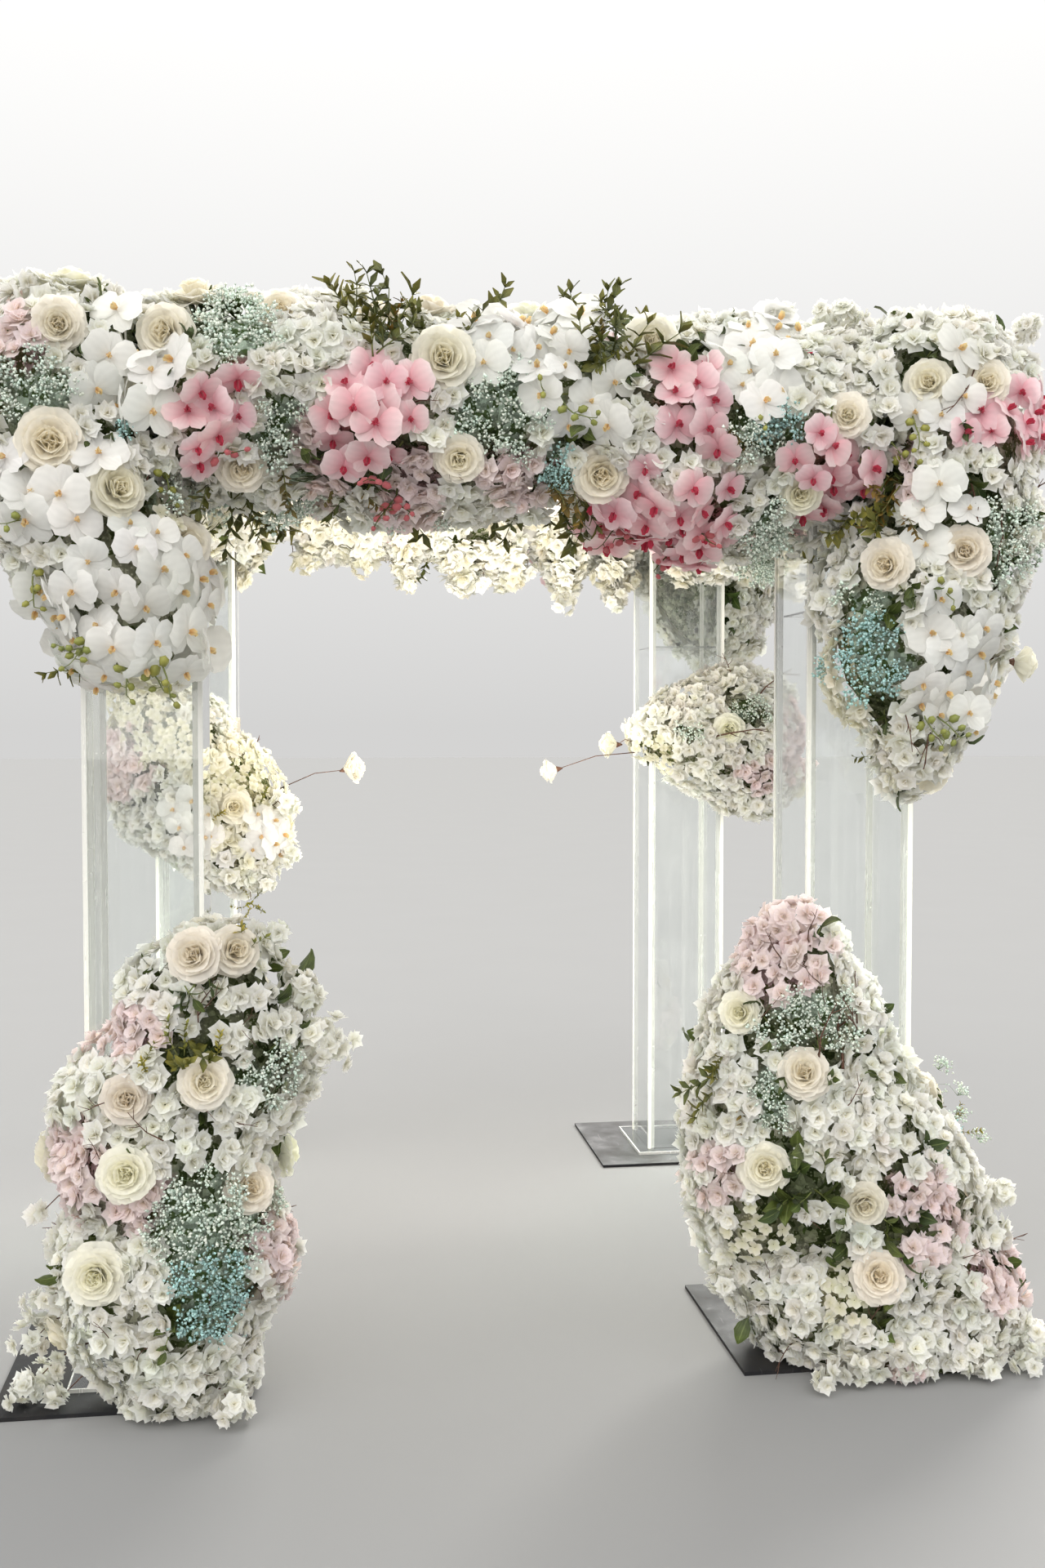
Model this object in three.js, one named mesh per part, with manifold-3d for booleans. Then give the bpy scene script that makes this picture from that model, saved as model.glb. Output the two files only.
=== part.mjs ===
// Wedding canopy on four clear square columns, with a cloth ceiling and massed flowers.
// Millimetres, +Z up, +X to the right of the front, +Y towards the back.
// The origin is on the ground at the middle of the plan.

import * as THREE from 'three';
import { mergeVertices } from 'three/addons/utils/BufferGeometryUtils.js';
import Module from 'manifold-3d';

const wasm = await Module();
wasm.setup();

// Driving dimensions
const COLUMN = 305;
const SHEET = 10;
const SPACING = 1930;
const FRAME_TOP = 2560;
const REACH = 1400;

// Base of each column: a black steel plate and a clear flange
const PLATE = { size: 640, thick: 10, shiftX: -50 };
const FLANGE = { size: 400, thick: SHEET };

// Top ring: white box beams on a cap plate over each column
const BEAM = { wide: 150, high: 100 };
const CAP_THICK = 10;

// Cloth ceiling laid over the beams
const CLOTH = { half: 920, thick: 6, sag: 85, bays: 8, overBeam: 30 };

// Clearance between a flower mass and what it is tied to
const GAP = 0.3;

const AT = SPACING / 2;
const BEAM_UNDER = FRAME_TOP - BEAM.high;
const COLUMN_FOOT = PLATE.thick + FLANGE.thick;
const FLOWER_FOOT = PLATE.thick + GAP;
const COLUMN_HEAD = BEAM_UNDER - CAP_THICK;
const BEAM_END = AT + BEAM.wide / 2;
const GARLAND_END = 930;

// Flower rings run a little past the reach and are trimmed back to it
const OUT = REACH + 10;

const CORNERS = [
  { name: 'front_left', x: -1, y: -1 },
  { name: 'front_right', x: 1, y: -1 },
  { name: 'back_left', x: -1, y: 1 },
  { name: 'back_right', x: 1, y: 1 },
];

const canopy = new THREE.Group();

function material(colour, roughness, metalness, opacity = 1) {
  return new THREE.MeshStandardMaterial({
    color: colour,
    roughness,
    metalness,
    opacity,
    transparent: opacity < 1,
  });
}

const FINISH = {
  acrylic: () => material(0xe9eeec, 0.06, 0, 0.35),
  steel: () => material(0x17181a, 0.55, 0.6),
  paint: () => material(0xf2f1ec, 0.45, 0.1),
  cloth: () => material(0xf6efdf, 0.9, 0),
  blossom: () => material(0xf3f1ea, 0.85, 0),
};

function addMesh(name, geometry, finish, parent = canopy) {
  const mesh = new THREE.Mesh(geometry, finish());
  mesh.name = name;
  parent.add(mesh);
  return mesh;
}

function addBox(name, size, centre, finish, parent = canopy) {
  const mesh = addMesh(name, new THREE.BoxGeometry(...size), finish, parent);
  mesh.position.set(...centre);
  return mesh;
}

// Boolean helpers: a closed geometry to a solid and back

function toSolid(geometry) {
  const plain = geometry.clone();
  plain.deleteAttribute('normal');
  plain.deleteAttribute('uv');
  const welded = mergeVertices(plain, 1e-4);
  return new wasm.Manifold(new wasm.Mesh({
    numProp: 3,
    vertProperties: new Float32Array(welded.attributes.position.array),
    triVerts: new Uint32Array(welded.index.array),
  }));
}

function toGeometry(solid) {
  const mesh = solid.getMesh();
  const geometry = new THREE.BufferGeometry();
  geometry.setAttribute('position', new THREE.BufferAttribute(mesh.vertProperties, 3));
  geometry.setIndex(new THREE.BufferAttribute(mesh.triVerts, 1));
  const faceted = geometry.toNonIndexed();
  faceted.computeVertexNormals();
  return faceted;
}

function boxSolid(low, high) {
  const size = high.map((value, i) => value - low[i]);
  const geometry = new THREE.BoxGeometry(...size);
  geometry.translate(...high.map((value, i) => (value + low[i]) / 2));
  return toSolid(geometry);
}

function largestPiece(solid) {
  const pieces = solid.decompose();
  return pieces.reduce((best, piece) => (piece.volume() > best.volume() ? piece : best));
}

// Flower mass: oval rings placed along one axis and joined into a closed, gently lobed body.
// A ring says where the mass stands along the axis and its four limits across it.

const SIDES = 14;
const LOBES = { count: 5, depth: 0.035, twist: 1.7 };

const PLACE = {
  x: (along, a, b) => [along, a, b],
  y: (along, a, b) => [-a, along, b],
  z: (along, a, b) => [a, b, along],
};

function ringPoint(ring, index, side, grow) {
  const angle = (2 * Math.PI * side) / SIDES;
  const lobe = 1 - LOBES.depth * (1 + Math.sin(LOBES.count * angle + LOBES.twist * index));
  const [a0, a1] = ring.a;
  const [b0, b1] = ring.b;
  const radiusA = ((a1 - a0) / 2) * lobe + grow;
  const radiusB = ((b1 - b0) / 2) * lobe + grow;
  return [
    (a0 + a1) / 2 + radiusA * Math.cos(angle),
    (b0 + b1) / 2 + radiusB * Math.sin(angle),
  ];
}

function flowerMass(axis, rings, grow = 0) {
  const place = PLACE[axis];
  const points = [];
  const last = rings.length - 1;
  rings.forEach((ring, index) => {
    const along = ring.at + (index === 0 ? -grow : 0) + (index === last ? grow : 0);
    for (let side = 0; side < SIDES; side += 1) {
      points.push(place(along, ...ringPoint(ring, index, side, grow)));
    }
  });
  const ends = [rings[0], rings[last]].map((ring, end) => {
    const along = ring.at + (end === 0 ? -grow : grow);
    return points.push(place(along, (ring.a[0] + ring.a[1]) / 2, (ring.b[0] + ring.b[1]) / 2)) - 1;
  });
  const faces = [];
  for (let side = 0; side < SIDES; side += 1) {
    const next = (side + 1) % SIDES;
    faces.push([ends[0], next, side]);
    faces.push([ends[1], last * SIDES + side, last * SIDES + next]);
    for (let index = 0; index < last; index += 1) {
      const low = index * SIDES;
      const high = low + SIDES;
      faces.push([low + side, low + next, high + next]);
      faces.push([low + side, high + next, high + side]);
    }
  }
  const geometry = new THREE.BufferGeometry();
  geometry.setAttribute('position', new THREE.Float32BufferAttribute(points.flat(), 3));
  geometry.setIndex(faces.flat());
  return toSolid(geometry);
}

// Columns: four clear sheets on a flange and a steel plate, closed by a cap plate

const half = COLUMN / 2;
const columnHeight = COLUMN_HEAD - COLUMN_FOOT;
const columnMiddle = (COLUMN_HEAD + COLUMN_FOOT) / 2;

for (const corner of CORNERS) {
  const stand = new THREE.Group();
  stand.position.set(corner.x * AT, corner.y * AT, 0);
  canopy.add(stand);

  const plateSize = [PLATE.size, PLATE.size, PLATE.thick];
  const plateCentre = [PLATE.shiftX, 0, PLATE.thick / 2];
  addBox(`${corner.name}_base_plate`, plateSize, plateCentre, FINISH.steel, stand);

  const flangeSize = [FLANGE.size, FLANGE.size, FLANGE.thick];
  const flangeCentre = [0, 0, PLATE.thick + FLANGE.thick / 2];
  addBox(`${corner.name}_flange`, flangeSize, flangeCentre, FINISH.acrylic, stand);

  for (const [face, sign] of [['front', -1], ['back', 1]]) {
    const size = [COLUMN, SHEET, columnHeight];
    const centre = [0, sign * (half - SHEET / 2), columnMiddle];
    addBox(`${corner.name}_column_${face}`, size, centre, FINISH.acrylic, stand);
  }
  for (const [face, sign] of [['left', -1], ['right', 1]]) {
    const size = [SHEET, COLUMN - 2 * SHEET, columnHeight];
    const centre = [sign * (half - SHEET / 2), 0, columnMiddle];
    addBox(`${corner.name}_column_${face}`, size, centre, FINISH.acrylic, stand);
  }

  const capSize = [COLUMN, COLUMN, CAP_THICK];
  const capCentre = [0, 0, COLUMN_HEAD + CAP_THICK / 2];
  addBox(`${corner.name}_cap_plate`, capSize, capCentre, FINISH.paint, stand);
}

// Top ring: the front and back beams run through, the side beams fit between them

const beamMiddle = (FRAME_TOP + BEAM_UNDER) / 2;
const sideBeamLength = 2 * AT - BEAM.wide;

for (const [name, sign] of [['front', -1], ['back', 1]]) {
  addBox(`${name}_beam`, [2 * BEAM_END, BEAM.wide, BEAM.high], [0, sign * AT, beamMiddle], FINISH.paint);
}
for (const [name, sign] of [['left', -1], ['right', 1]]) {
  addBox(`${name}_beam`, [BEAM.wide, sideBeamLength, BEAM.high], [sign * AT, 0, beamMiddle], FINISH.paint);
}

// Ceiling cloth: flat over the beams' inner edges and sagging between them

function clothSag(x, y) {
  const free = CLOTH.half - CLOTH.overBeam;
  const fall = (value) => Math.max(0, 1 - (value / free) ** 2);
  return CLOTH.sag * fall(x) * fall(y);
}

function clothGeometry() {
  const free = CLOTH.half - CLOTH.overBeam;
  const lines = [-CLOTH.half];
  for (let i = 0; i <= CLOTH.bays; i += 1) {
    lines.push(-free + (2 * free * i) / CLOTH.bays);
  }
  lines.push(CLOTH.half);
  const count = lines.length;
  const points = [];
  for (const lift of [0, CLOTH.thick]) {
    for (const y of lines) {
      for (const x of lines) {
        points.push([x, y, FRAME_TOP + lift - clothSag(x, y)]);
      }
    }
  }
  const layer = count * count;
  const faces = [];
  const quad = (a, b, c, d) => faces.push([a, b, c], [a, c, d]);
  for (let row = 0; row < count - 1; row += 1) {
    for (let col = 0; col < count - 1; col += 1) {
      const a = row * count + col;
      quad(a, a + count, a + count + 1, a + 1);
      quad(a + layer, a + layer + 1, a + layer + count + 1, a + layer + count);
    }
  }
  for (let i = 0; i < count - 1; i += 1) {
    const back = (count - 1) * count + i;
    const left = i * count;
    const right = left + count - 1;
    quad(i, i + 1, i + 1 + layer, i + layer);
    quad(back + 1, back, back + layer, back + 1 + layer);
    quad(left + count, left, left + layer, left + count + layer);
    quad(right, right + count, right + count + layer, right + layer);
  }
  const geometry = new THREE.BufferGeometry();
  geometry.setAttribute('position', new THREE.Float32BufferAttribute(points.flat(), 3));
  geometry.setIndex(faces.flat());
  const faceted = geometry.toNonIndexed();
  faceted.computeVertexNormals();
  return faceted;
}

addMesh('ceiling_cloth', clothGeometry(), FINISH.cloth);

// What the flower masses are tied round, cut out of them with a small clearance

function cornerHollow(corner) {
  const x = corner.x * AT;
  const y = corner.y * AT;
  const reach = half + GAP;
  const flange = FLANGE.size / 2 + GAP;
  const column = boxSolid([x - reach, y - reach, 0], [x + reach, y + reach, BEAM_UNDER + GAP]);
  const foot = boxSolid([x - flange, y - flange, 0], [x + flange, y + flange, COLUMN_FOOT + GAP]);
  return column.add(foot);
}

const beamReach = BEAM.wide / 2 + GAP;
const beamLow = BEAM_UNDER - GAP;
const beamHigh = FRAME_TOP + GAP;

function beamAlongX(y) {
  const end = BEAM_END + GAP;
  return boxSolid([-end, y - beamReach, beamLow], [end, y + beamReach, beamHigh]);
}

function beamAlongY(x) {
  return boxSolid([x - beamReach, -AT, beamLow], [x + beamReach, AT, beamHigh]);
}

const topRing = beamAlongX(-AT).add(beamAlongX(AT)).add(beamAlongY(-AT)).add(beamAlongY(AT));
const carriers = CORNERS.map(cornerHollow).reduce((all, solid) => all.add(solid), topRing);

const reachRoom = boxSolid([-REACH, -REACH, 0], [REACH, REACH, FRAME_TOP + REACH / 4]);

function fitted(solid) {
  return toGeometry(largestPiece(solid.subtract(carriers).intersect(reachRoom)));
}

// Garlands wrap the beams: a ring gives the place along the beam, then the limits outwards and
// upwards. Outwards is the distance from the middle of the plan.

const GARLAND_INNER = 760;

function garlandRing(at, outer, under, crest) {
  return { at, out: [GARLAND_INNER, outer], up: [under, crest] };
}

const GARLANDS = {
  front: [
    garlandRing(-GARLAND_END, 1385, 2300, 2770),
    garlandRing(-700, 1405, 2340, 2800),
    garlandRing(-450, 1395, 2330, 2790),
    garlandRing(-310, 1395, 2275, 2780),
    garlandRing(-180, OUT, 2290, 2765),
    garlandRing(20, 1390, 2335, 2790),
    garlandRing(200, 1395, 2315, 2780),
    garlandRing(370, 1400, 2215, 2775),
    garlandRing(560, 1380, 2205, 2790),
    garlandRing(710, 1395, 2245, 2765),
    garlandRing(GARLAND_END, 1385, 2285, 2760),
  ],
  back: [
    garlandRing(-GARLAND_END, 1380, 2320, 2760),
    garlandRing(-770, 1390, 2320, 2780),
    garlandRing(-630, 1395, 2385, 2775),
    garlandRing(-500, 1400, 2345, 2785),
    garlandRing(-300, 1385, 2350, 2770),
    garlandRing(-130, 1390, 2335, 2780),
    garlandRing(60, OUT, 2345, 2790),
    garlandRing(240, 1390, 2345, 2770),
    garlandRing(390, 1390, 2380, 2775),
    garlandRing(510, 1395, 2290, 2780),
    garlandRing(610, 1400, 2345, 2785),
    garlandRing(700, 1400, 2290, 2785),
    garlandRing(810, 1390, 2350, 2770),
    garlandRing(GARLAND_END, 1380, 2320, 2760),
  ],
  left: [
    garlandRing(-GARLAND_END, 1385, 2300, 2765),
    garlandRing(-620, 1400, 2340, 2785),
    garlandRing(-280, 1385, 2320, 2770),
    garlandRing(40, OUT, 2350, 2790),
    garlandRing(370, 1390, 2325, 2765),
    garlandRing(660, 1400, 2350, 2780),
    garlandRing(GARLAND_END, 1380, 2320, 2760),
  ],
  right: [
    garlandRing(-GARLAND_END, 1390, 2295, 2765),
    garlandRing(-650, 1400, 2320, 2790),
    garlandRing(-310, 1385, 2345, 2770),
    garlandRing(30, OUT, 2320, 2785),
    garlandRing(350, 1385, 2345, 2765),
    garlandRing(650, 1400, 2330, 2785),
    garlandRing(GARLAND_END, 1380, 2320, 2760),
  ],
};

const SIDE_OF = {
  front: { axis: 'x', sign: -1 },
  back: { axis: 'x', sign: 1 },
  left: { axis: 'y', sign: 1 },
  right: { axis: 'y', sign: -1 },
};

function garlandSolid(side, grow = 0) {
  const { axis, sign } = SIDE_OF[side];
  const rings = GARLANDS[side].map((ring) => ({
    at: ring.at,
    a: ring.out.map((value) => sign * value).sort((p, q) => p - q),
    b: ring.up,
  }));
  return flowerMass(axis, rings, grow);
}

// Room for the cloth: a thin one where it leaves the beams, and one down to its sag

function clothSpace(drop) {
  const wide = CLOTH.half + GAP;
  const top = FRAME_TOP + CLOTH.thick + GAP;
  return boxSolid([-wide, -wide, FRAME_TOP - drop], [wide, wide, top]);
}

const garlandSpace = (side) => garlandSolid(side, GAP);
const crossRoom = garlandSpace('front').add(garlandSpace('back'));

for (const side of Object.keys(GARLANDS)) {
  const open = garlandSolid(side).subtract(clothSpace(30));
  const garland = SIDE_OF[side].axis === 'x' ? open : open.subtract(crossRoom);
  addMesh(`${side}_garland`, fitted(garland), FINISH.blossom);
}

// Corner clusters hang from the ring over each column head.
// A ring gives the height and the limits across the width and the depth, for the right back
// corner or, with a table of its own, for the corner that it names.

function upright(at, xLow, xHigh, yLow, yHigh) {
  return { at, a: [xLow, xHigh], b: [yLow, yHigh] };
}

function mirrored(rings, corner) {
  const flip = (limits, sign) => limits.map((value) => sign * value).sort((p, q) => p - q);
  return rings.map((ring) => ({
    at: ring.at,
    a: flip(ring.a, corner.x),
    b: flip(ring.b, corner.y),
  }));
}

const CLUSTERS = {
  front_left: [
    upright(1840, 880, 1050, 1150, 1290),
    upright(1910, 835, 1110, 1100, 1350),
    upright(2020, 820, 1150, 1050, 1380),
    upright(2140, 830, 1270, 1000, 1395),
    upright(2260, 860, 1400, 900, OUT),
    upright(2480, 880, OUT, 880, OUT),
    upright(2680, 900, 1385, 900, 1385),
    upright(2770, 980, 1300, 980, 1300),
  ],
  front_right: [
    upright(1575, 1020, 1090, 1180, 1260),
    upright(1680, 970, 1150, 1130, 1310),
    upright(1790, 890, 1240, 1090, 1350),
    upright(1900, 825, 1285, 1060, 1380),
    upright(2020, 815, 1310, 1030, 1390),
    upright(2140, 850, 1370, 980, OUT),
    upright(2280, 880, 1405, 900, OUT),
    upright(2480, 890, OUT, 890, OUT),
    upright(2680, 900, 1385, 900, 1385),
    upright(2770, 980, 1300, 980, 1300),
  ],
  back_left: [
    upright(2040, 1130, 1260, 1130, 1260),
    upright(2120, 1000, 1340, 1000, 1340),
    upright(2260, 890, 1400, 890, 1400),
    upright(2480, 880, OUT, 880, OUT),
    upright(2680, 900, 1385, 900, 1385),
    upright(2770, 990, 1300, 990, 1300),
  ],
  back_right: [
    upright(1990, 1140, 1250, 1140, 1250),
    upright(2090, 1020, 1350, 1020, 1340),
    upright(2240, 890, 1400, 890, 1400),
    upright(2480, 880, OUT, 880, OUT),
    upright(2680, 900, 1385, 900, 1385),
    upright(2770, 990, 1300, 990, 1300),
  ],
};

const garlandRoom = Object.keys(GARLANDS)
  .map(garlandSpace)
  .reduce((all, solid) => all.add(solid));

const clothRoom = clothSpace(CLOTH.sag);

for (const corner of CORNERS) {
  const whole = flowerMass('z', mirrored(CLUSTERS[corner.name], corner));
  const cut = whole.subtract(garlandRoom).subtract(clothRoom);
  addMesh(`${corner.name}_corner_cluster`, fitted(cut), FINISH.blossom);
}

// Standing and tied arrangements on the columns, in true coordinates

const ARRANGEMENTS = {
  front_left: {
    name: 'front_left_base_arrangement',
    rings: [
      upright(FLOWER_FOOT, -1030, -715, -1350, -1000),
      upright(110, -1070, -715, -1390, -970),
      upright(220, -1150, -680, -1400, -960),
      upright(340, -1190, -600, -1400, -950),
      upright(500, -1120, -640, -1400, -950),
      upright(640, -1180, -640, -1400, -950),
      upright(800, -1150, -570, -1385, -970),
      upright(950, -1030, -570, -1365, -1000),
      upright(1090, -960, -630, -1330, -1030),
      upright(1180, -880, -710, -1280, -1110),
    ],
  },
  front_right: {
    name: 'front_right_base_arrangement',
    rings: [
      upright(FLOWER_FOOT, 710, 1390, -1380, -1020),
      upright(110, 650, 1405, -1400, -990),
      upright(220, 580, 1400, -1400, -970),
      upright(350, 510, 1340, -1400, -960),
      upright(550, 475, 1220, -1390, -960),
      upright(760, 490, 1080, -1370, -980),
      upright(960, 560, 960, -1350, -1000),
      upright(1110, 640, 890, -1310, -1050),
      upright(1210, 700, 800, -1250, -1120),
    ],
  },
  back_left: {
    name: 'back_left_column_arrangement',
    rings: [
      upright(1120, -840, -730, 660, 800),
      upright(1220, -1000, -650, 600, 920),
      upright(1350, -1220, -600, 560, 990),
      upright(1500, -1270, -650, 550, 1010),
      upright(1650, -1280, -770, 560, 1000),
      upright(1790, -1260, -900, 580, 980),
      upright(1890, -1190, -1030, 640, 900),
    ],
  },
  back_right: {
    name: 'back_right_column_arrangement',
    rings: [
      upright(1410, 1120, 1310, 640, 820),
      upright(1500, 960, 1385, 560, 960),
      upright(1620, 740, 1405, 510, 1000),
      upright(1720, 730, 1400, 520, 1000),
      upright(1830, 880, 1360, 560, 970),
      upright(1920, 1040, 1260, 640, 880),
    ],
  },
};

for (const corner of CORNERS) {
  const { name, rings } = ARRANGEMENTS[corner.name];
  addMesh(name, fitted(flowerMass('z', rings)), FINISH.blossom);
}

export default canopy;
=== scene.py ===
"""Looks of the wedding canopy: clear columns, a cloth ceiling and massed fabric flowers."""

import logging
import math
from collections.abc import Callable, Iterable, Sequence
from dataclasses import dataclass, field
from enum import Enum
from itertools import product

import bmesh
import bpy
import numpy as np
from mathutils import Matrix, Vector, noise
from mathutils.bvhtree import BVHTree
from mathutils.kdtree import KDTree


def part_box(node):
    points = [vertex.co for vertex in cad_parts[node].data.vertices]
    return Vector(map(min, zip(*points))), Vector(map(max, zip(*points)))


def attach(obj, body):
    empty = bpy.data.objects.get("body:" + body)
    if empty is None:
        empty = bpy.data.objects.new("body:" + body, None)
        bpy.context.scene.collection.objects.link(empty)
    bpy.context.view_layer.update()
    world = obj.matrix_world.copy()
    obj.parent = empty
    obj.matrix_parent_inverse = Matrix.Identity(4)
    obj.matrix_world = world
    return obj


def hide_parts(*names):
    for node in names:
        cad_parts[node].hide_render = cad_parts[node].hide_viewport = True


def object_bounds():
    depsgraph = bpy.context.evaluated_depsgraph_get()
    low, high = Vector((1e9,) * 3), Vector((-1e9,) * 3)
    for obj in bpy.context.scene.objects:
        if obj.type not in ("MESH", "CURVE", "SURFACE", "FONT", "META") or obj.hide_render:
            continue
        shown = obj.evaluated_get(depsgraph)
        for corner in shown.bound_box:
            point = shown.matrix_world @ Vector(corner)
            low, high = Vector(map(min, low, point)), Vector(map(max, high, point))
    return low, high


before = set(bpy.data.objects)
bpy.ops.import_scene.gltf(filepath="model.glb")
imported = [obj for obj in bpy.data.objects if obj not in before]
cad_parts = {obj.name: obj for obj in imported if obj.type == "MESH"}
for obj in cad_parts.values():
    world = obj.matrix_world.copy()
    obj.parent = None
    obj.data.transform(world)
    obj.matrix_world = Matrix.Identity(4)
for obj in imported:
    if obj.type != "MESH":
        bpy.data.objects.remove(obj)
CAD_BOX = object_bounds()
LOG = logging.getLogger("canopy")

Colour = tuple[float, float, float]
Place = tuple[float, float, float]

UNDYED = (1.0, 1.0, 1.0)

CORNERS = ("front_left", "front_right", "back_left", "back_right")
SIDES = ("front", "back", "left", "right")


def shade(red: int, green: int, blue: int) -> Colour:
    """Linear colour of an eight-bit display colour."""
    return tuple((channel / 255) ** 2.2 for channel in (red, green, blue))


@dataclass(frozen=True)
class PhotoView:
    """The photograph's camera, and the way from its pixels to rays in the model's space."""

    place: Place = (-0.5515, -5.1415, 1.72)
    heading: float = 0.142
    pitch: float = 0.0375
    lens_mm: float = 35.0
    sensor_mm: float = 36.0
    width_px: float = 1280.0
    height_px: float = 1920.0
    far: float = 200.0

    @property
    def focal_px(self) -> float:
        """Focal length in pixels of the photograph."""
        return self.lens_mm / self.sensor_mm * self.height_px

    def turn(self) -> Matrix:
        """Rotation from camera space to the model's space."""
        upright = Matrix.Rotation(math.pi / 2 - self.pitch, 3, "X")
        return Matrix.Rotation(-self.heading, 3, "Z") @ upright

    def ray(self, px: float, py: float) -> Vector:
        """Unit vector, in the model's space, of the ray through a pixel."""
        right = (px - self.width_px / 2) / self.focal_px
        up = (self.height_px / 2 - py) / self.focal_px
        return (self.turn() @ Vector((right, up, -1.0))).normalized()

    def pixel(self, point: Vector) -> tuple[float, float]:
        """Pixel at which a point of the model is seen."""
        local = self.turn().transposed() @ (point - Vector(self.place))
        scale = self.focal_px / -local.z
        return self.width_px / 2 + local.x * scale, self.height_px / 2 - local.y * scale

    def on_plane(self, px: float, py: float, depth: float) -> Vector:
        """Point where a pixel's ray meets the upright plane at y = depth.

        Args:
            px, py: The pixel.
            depth: The plane's y.

        Returns:
            The point.
        """
        start = Vector(self.place)
        way = self.ray(px, py)
        return start + way * ((depth - start.y) / way.y)

    def build(self) -> None:
        """Makes the camera and hands it to the scene."""
        data = bpy.data.cameras.new("photo_view")
        data.lens = self.lens_mm
        data.sensor_width = self.sensor_mm
        data.sensor_fit = "AUTO"
        data.clip_end = self.far
        camera = bpy.data.objects.new("photo_view", data)
        camera.location = self.place
        camera.rotation_euler = (math.pi / 2 - self.pitch, 0.0, -self.heading)
        bpy.context.scene.collection.objects.link(camera)
        bpy.context.scene.camera = camera


VIEW = PhotoView()


class Nodes:
    """A new material with a Principled shader, and short ways to add nodes to it."""

    def __init__(self, name: str) -> None:
        """Starts a material of that name with an empty tree.

        Args:
            name: The material's name.
        """
        self.material = bpy.data.materials.new(name)
        self.material.use_nodes = True
        self.tree = self.material.node_tree
        self.tree.nodes.clear()
        self.output = self.add("ShaderNodeOutputMaterial")
        self.skin = self.add("ShaderNodeBsdfPrincipled")
        self.join(self.skin, "BSDF", self.output, "Surface")
        self.place = self.add("ShaderNodeTexCoord").outputs["Object"]

    def add(self, kind: str, **settings: object) -> bpy.types.Node:
        """Adds a node and sets its properties."""
        node = self.tree.nodes.new(kind)
        for key, value in settings.items():
            setattr(node, key, value)
        return node

    def join(self, source: bpy.types.Node, out: str | int, target: bpy.types.Node, into: str | int) -> None:
        """Links one node's output to another node's input."""
        self.tree.links.new(source.outputs[out], target.inputs[into])

    def feed(self, socket: bpy.types.NodeSocket, value: object) -> None:
        """Links an output into a socket, or sets the socket to a plain value.

        Args:
            socket: The input.
            value: An output, a number, a place or a colour.
        """
        if isinstance(value, bpy.types.NodeSocket):
            self.tree.links.new(value, socket)
        elif isinstance(value, tuple) and len(value) == 3 and socket.type == "RGBA":
            socket.default_value = (*value, 1.0)
        else:
            socket.default_value = value

    def put(self, node: bpy.types.Node, **inputs: object) -> bpy.types.Node:
        """Feeds a node's inputs, named with underscores for spaces."""
        for key, value in inputs.items():
            self.feed(node.inputs[key.replace("_", " ")], value)
        return node

    def set(self, **values: object) -> None:
        """Feeds the Principled shader's inputs."""
        self.put(self.skin, **values)

    def noise(self, scale: float, detail: float = 3.0, roughness: float = 0.5, at: object = None) -> object:
        """A noise value over the object's own coordinates.

        Args:
            scale: How fine it is.
            detail: How many finer layers it has.
            roughness: How strong those are.
            at: Coordinates to use instead.

        Returns:
            The value.
        """
        node = self.add("ShaderNodeTexNoise")
        return self.put(
            node, Vector=at or self.place, Scale=scale, Detail=detail, Roughness=roughness
        ).outputs["Fac"]

    def cells(self, scale: float) -> bpy.types.Node:
        """A pattern of uneven cells over the object's own coordinates."""
        return self.put(self.add("ShaderNodeTexVoronoi"), Vector=self.place, Scale=scale)

    def stretched(self, scale: Place) -> object:
        """The object's coordinates, scaled unequally, for a pattern that runs one way."""
        return self.put(self.add("ShaderNodeMapping"), Vector=self.place, Scale=scale).outputs["Vector"]

    def spread(self, value: object, low: float, high: float, to_low: float, to_high: float) -> object:
        """Moves a value from one range to another, clamped.

        Args:
            value: What is moved.
            low, high: The range that it comes from.
            to_low, to_high: The range that it goes to.

        Returns:
            The moved value.
        """
        node = self.add("ShaderNodeMapRange", clamp=True)
        return self.put(
            node, Value=value, From_Min=low, From_Max=high, To_Min=to_low, To_Max=to_high
        ).outputs["Result"]

    def mix(self, share: object, first: object, second: object, blend: str = "MIX") -> object:
        """Mixes two colours.

        Args:
            share: How much of the second colour.
            first, second: The colours.
            blend: The way of mixing.

        Returns:
            The mixed colour.
        """
        node = self.put(self.add("ShaderNodeMix", data_type="RGBA", blend_type=blend), Factor=share)
        colours = [socket for socket in node.inputs if socket.type == "RGBA"]
        self.feed(colours[0], first)
        self.feed(colours[1], second)
        return next(socket for socket in node.outputs if socket.type == "RGBA")

    def times(self, first: object, second: object) -> object:
        """One colour multiplied by another."""
        return self.mix(1.0, first, second, "MULTIPLY")

    def dimmed(self, colour: object, share: object) -> object:
        """A colour darkened by a value."""
        grey = self.add("ShaderNodeCombineColor")
        for channel in grey.inputs:
            self.feed(channel, share)
        return self.times(colour, grey.outputs[0])

    def maths(self, operation: str, first: object, second: object = 0.0) -> object:
        """One step of arithmetic on values."""
        node = self.add("ShaderNodeMath", operation=operation)
        self.feed(node.inputs[0], first)
        self.feed(node.inputs[1], second)
        return node.outputs[0]

    def bump(self, height: object, strength: float, distance: float) -> None:
        """Roughens the Principled shader's surface by a height pattern."""
        node = self.put(self.add("ShaderNodeBump"), Strength=strength, Distance=distance, Height=height)
        self.set(Normal=node.outputs["Normal"])

    def attribute(self, name: str, output: str = "Color") -> object:
        """A stored attribute of the mesh."""
        return self.add("ShaderNodeAttribute", attribute_name=name).outputs[output]

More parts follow.
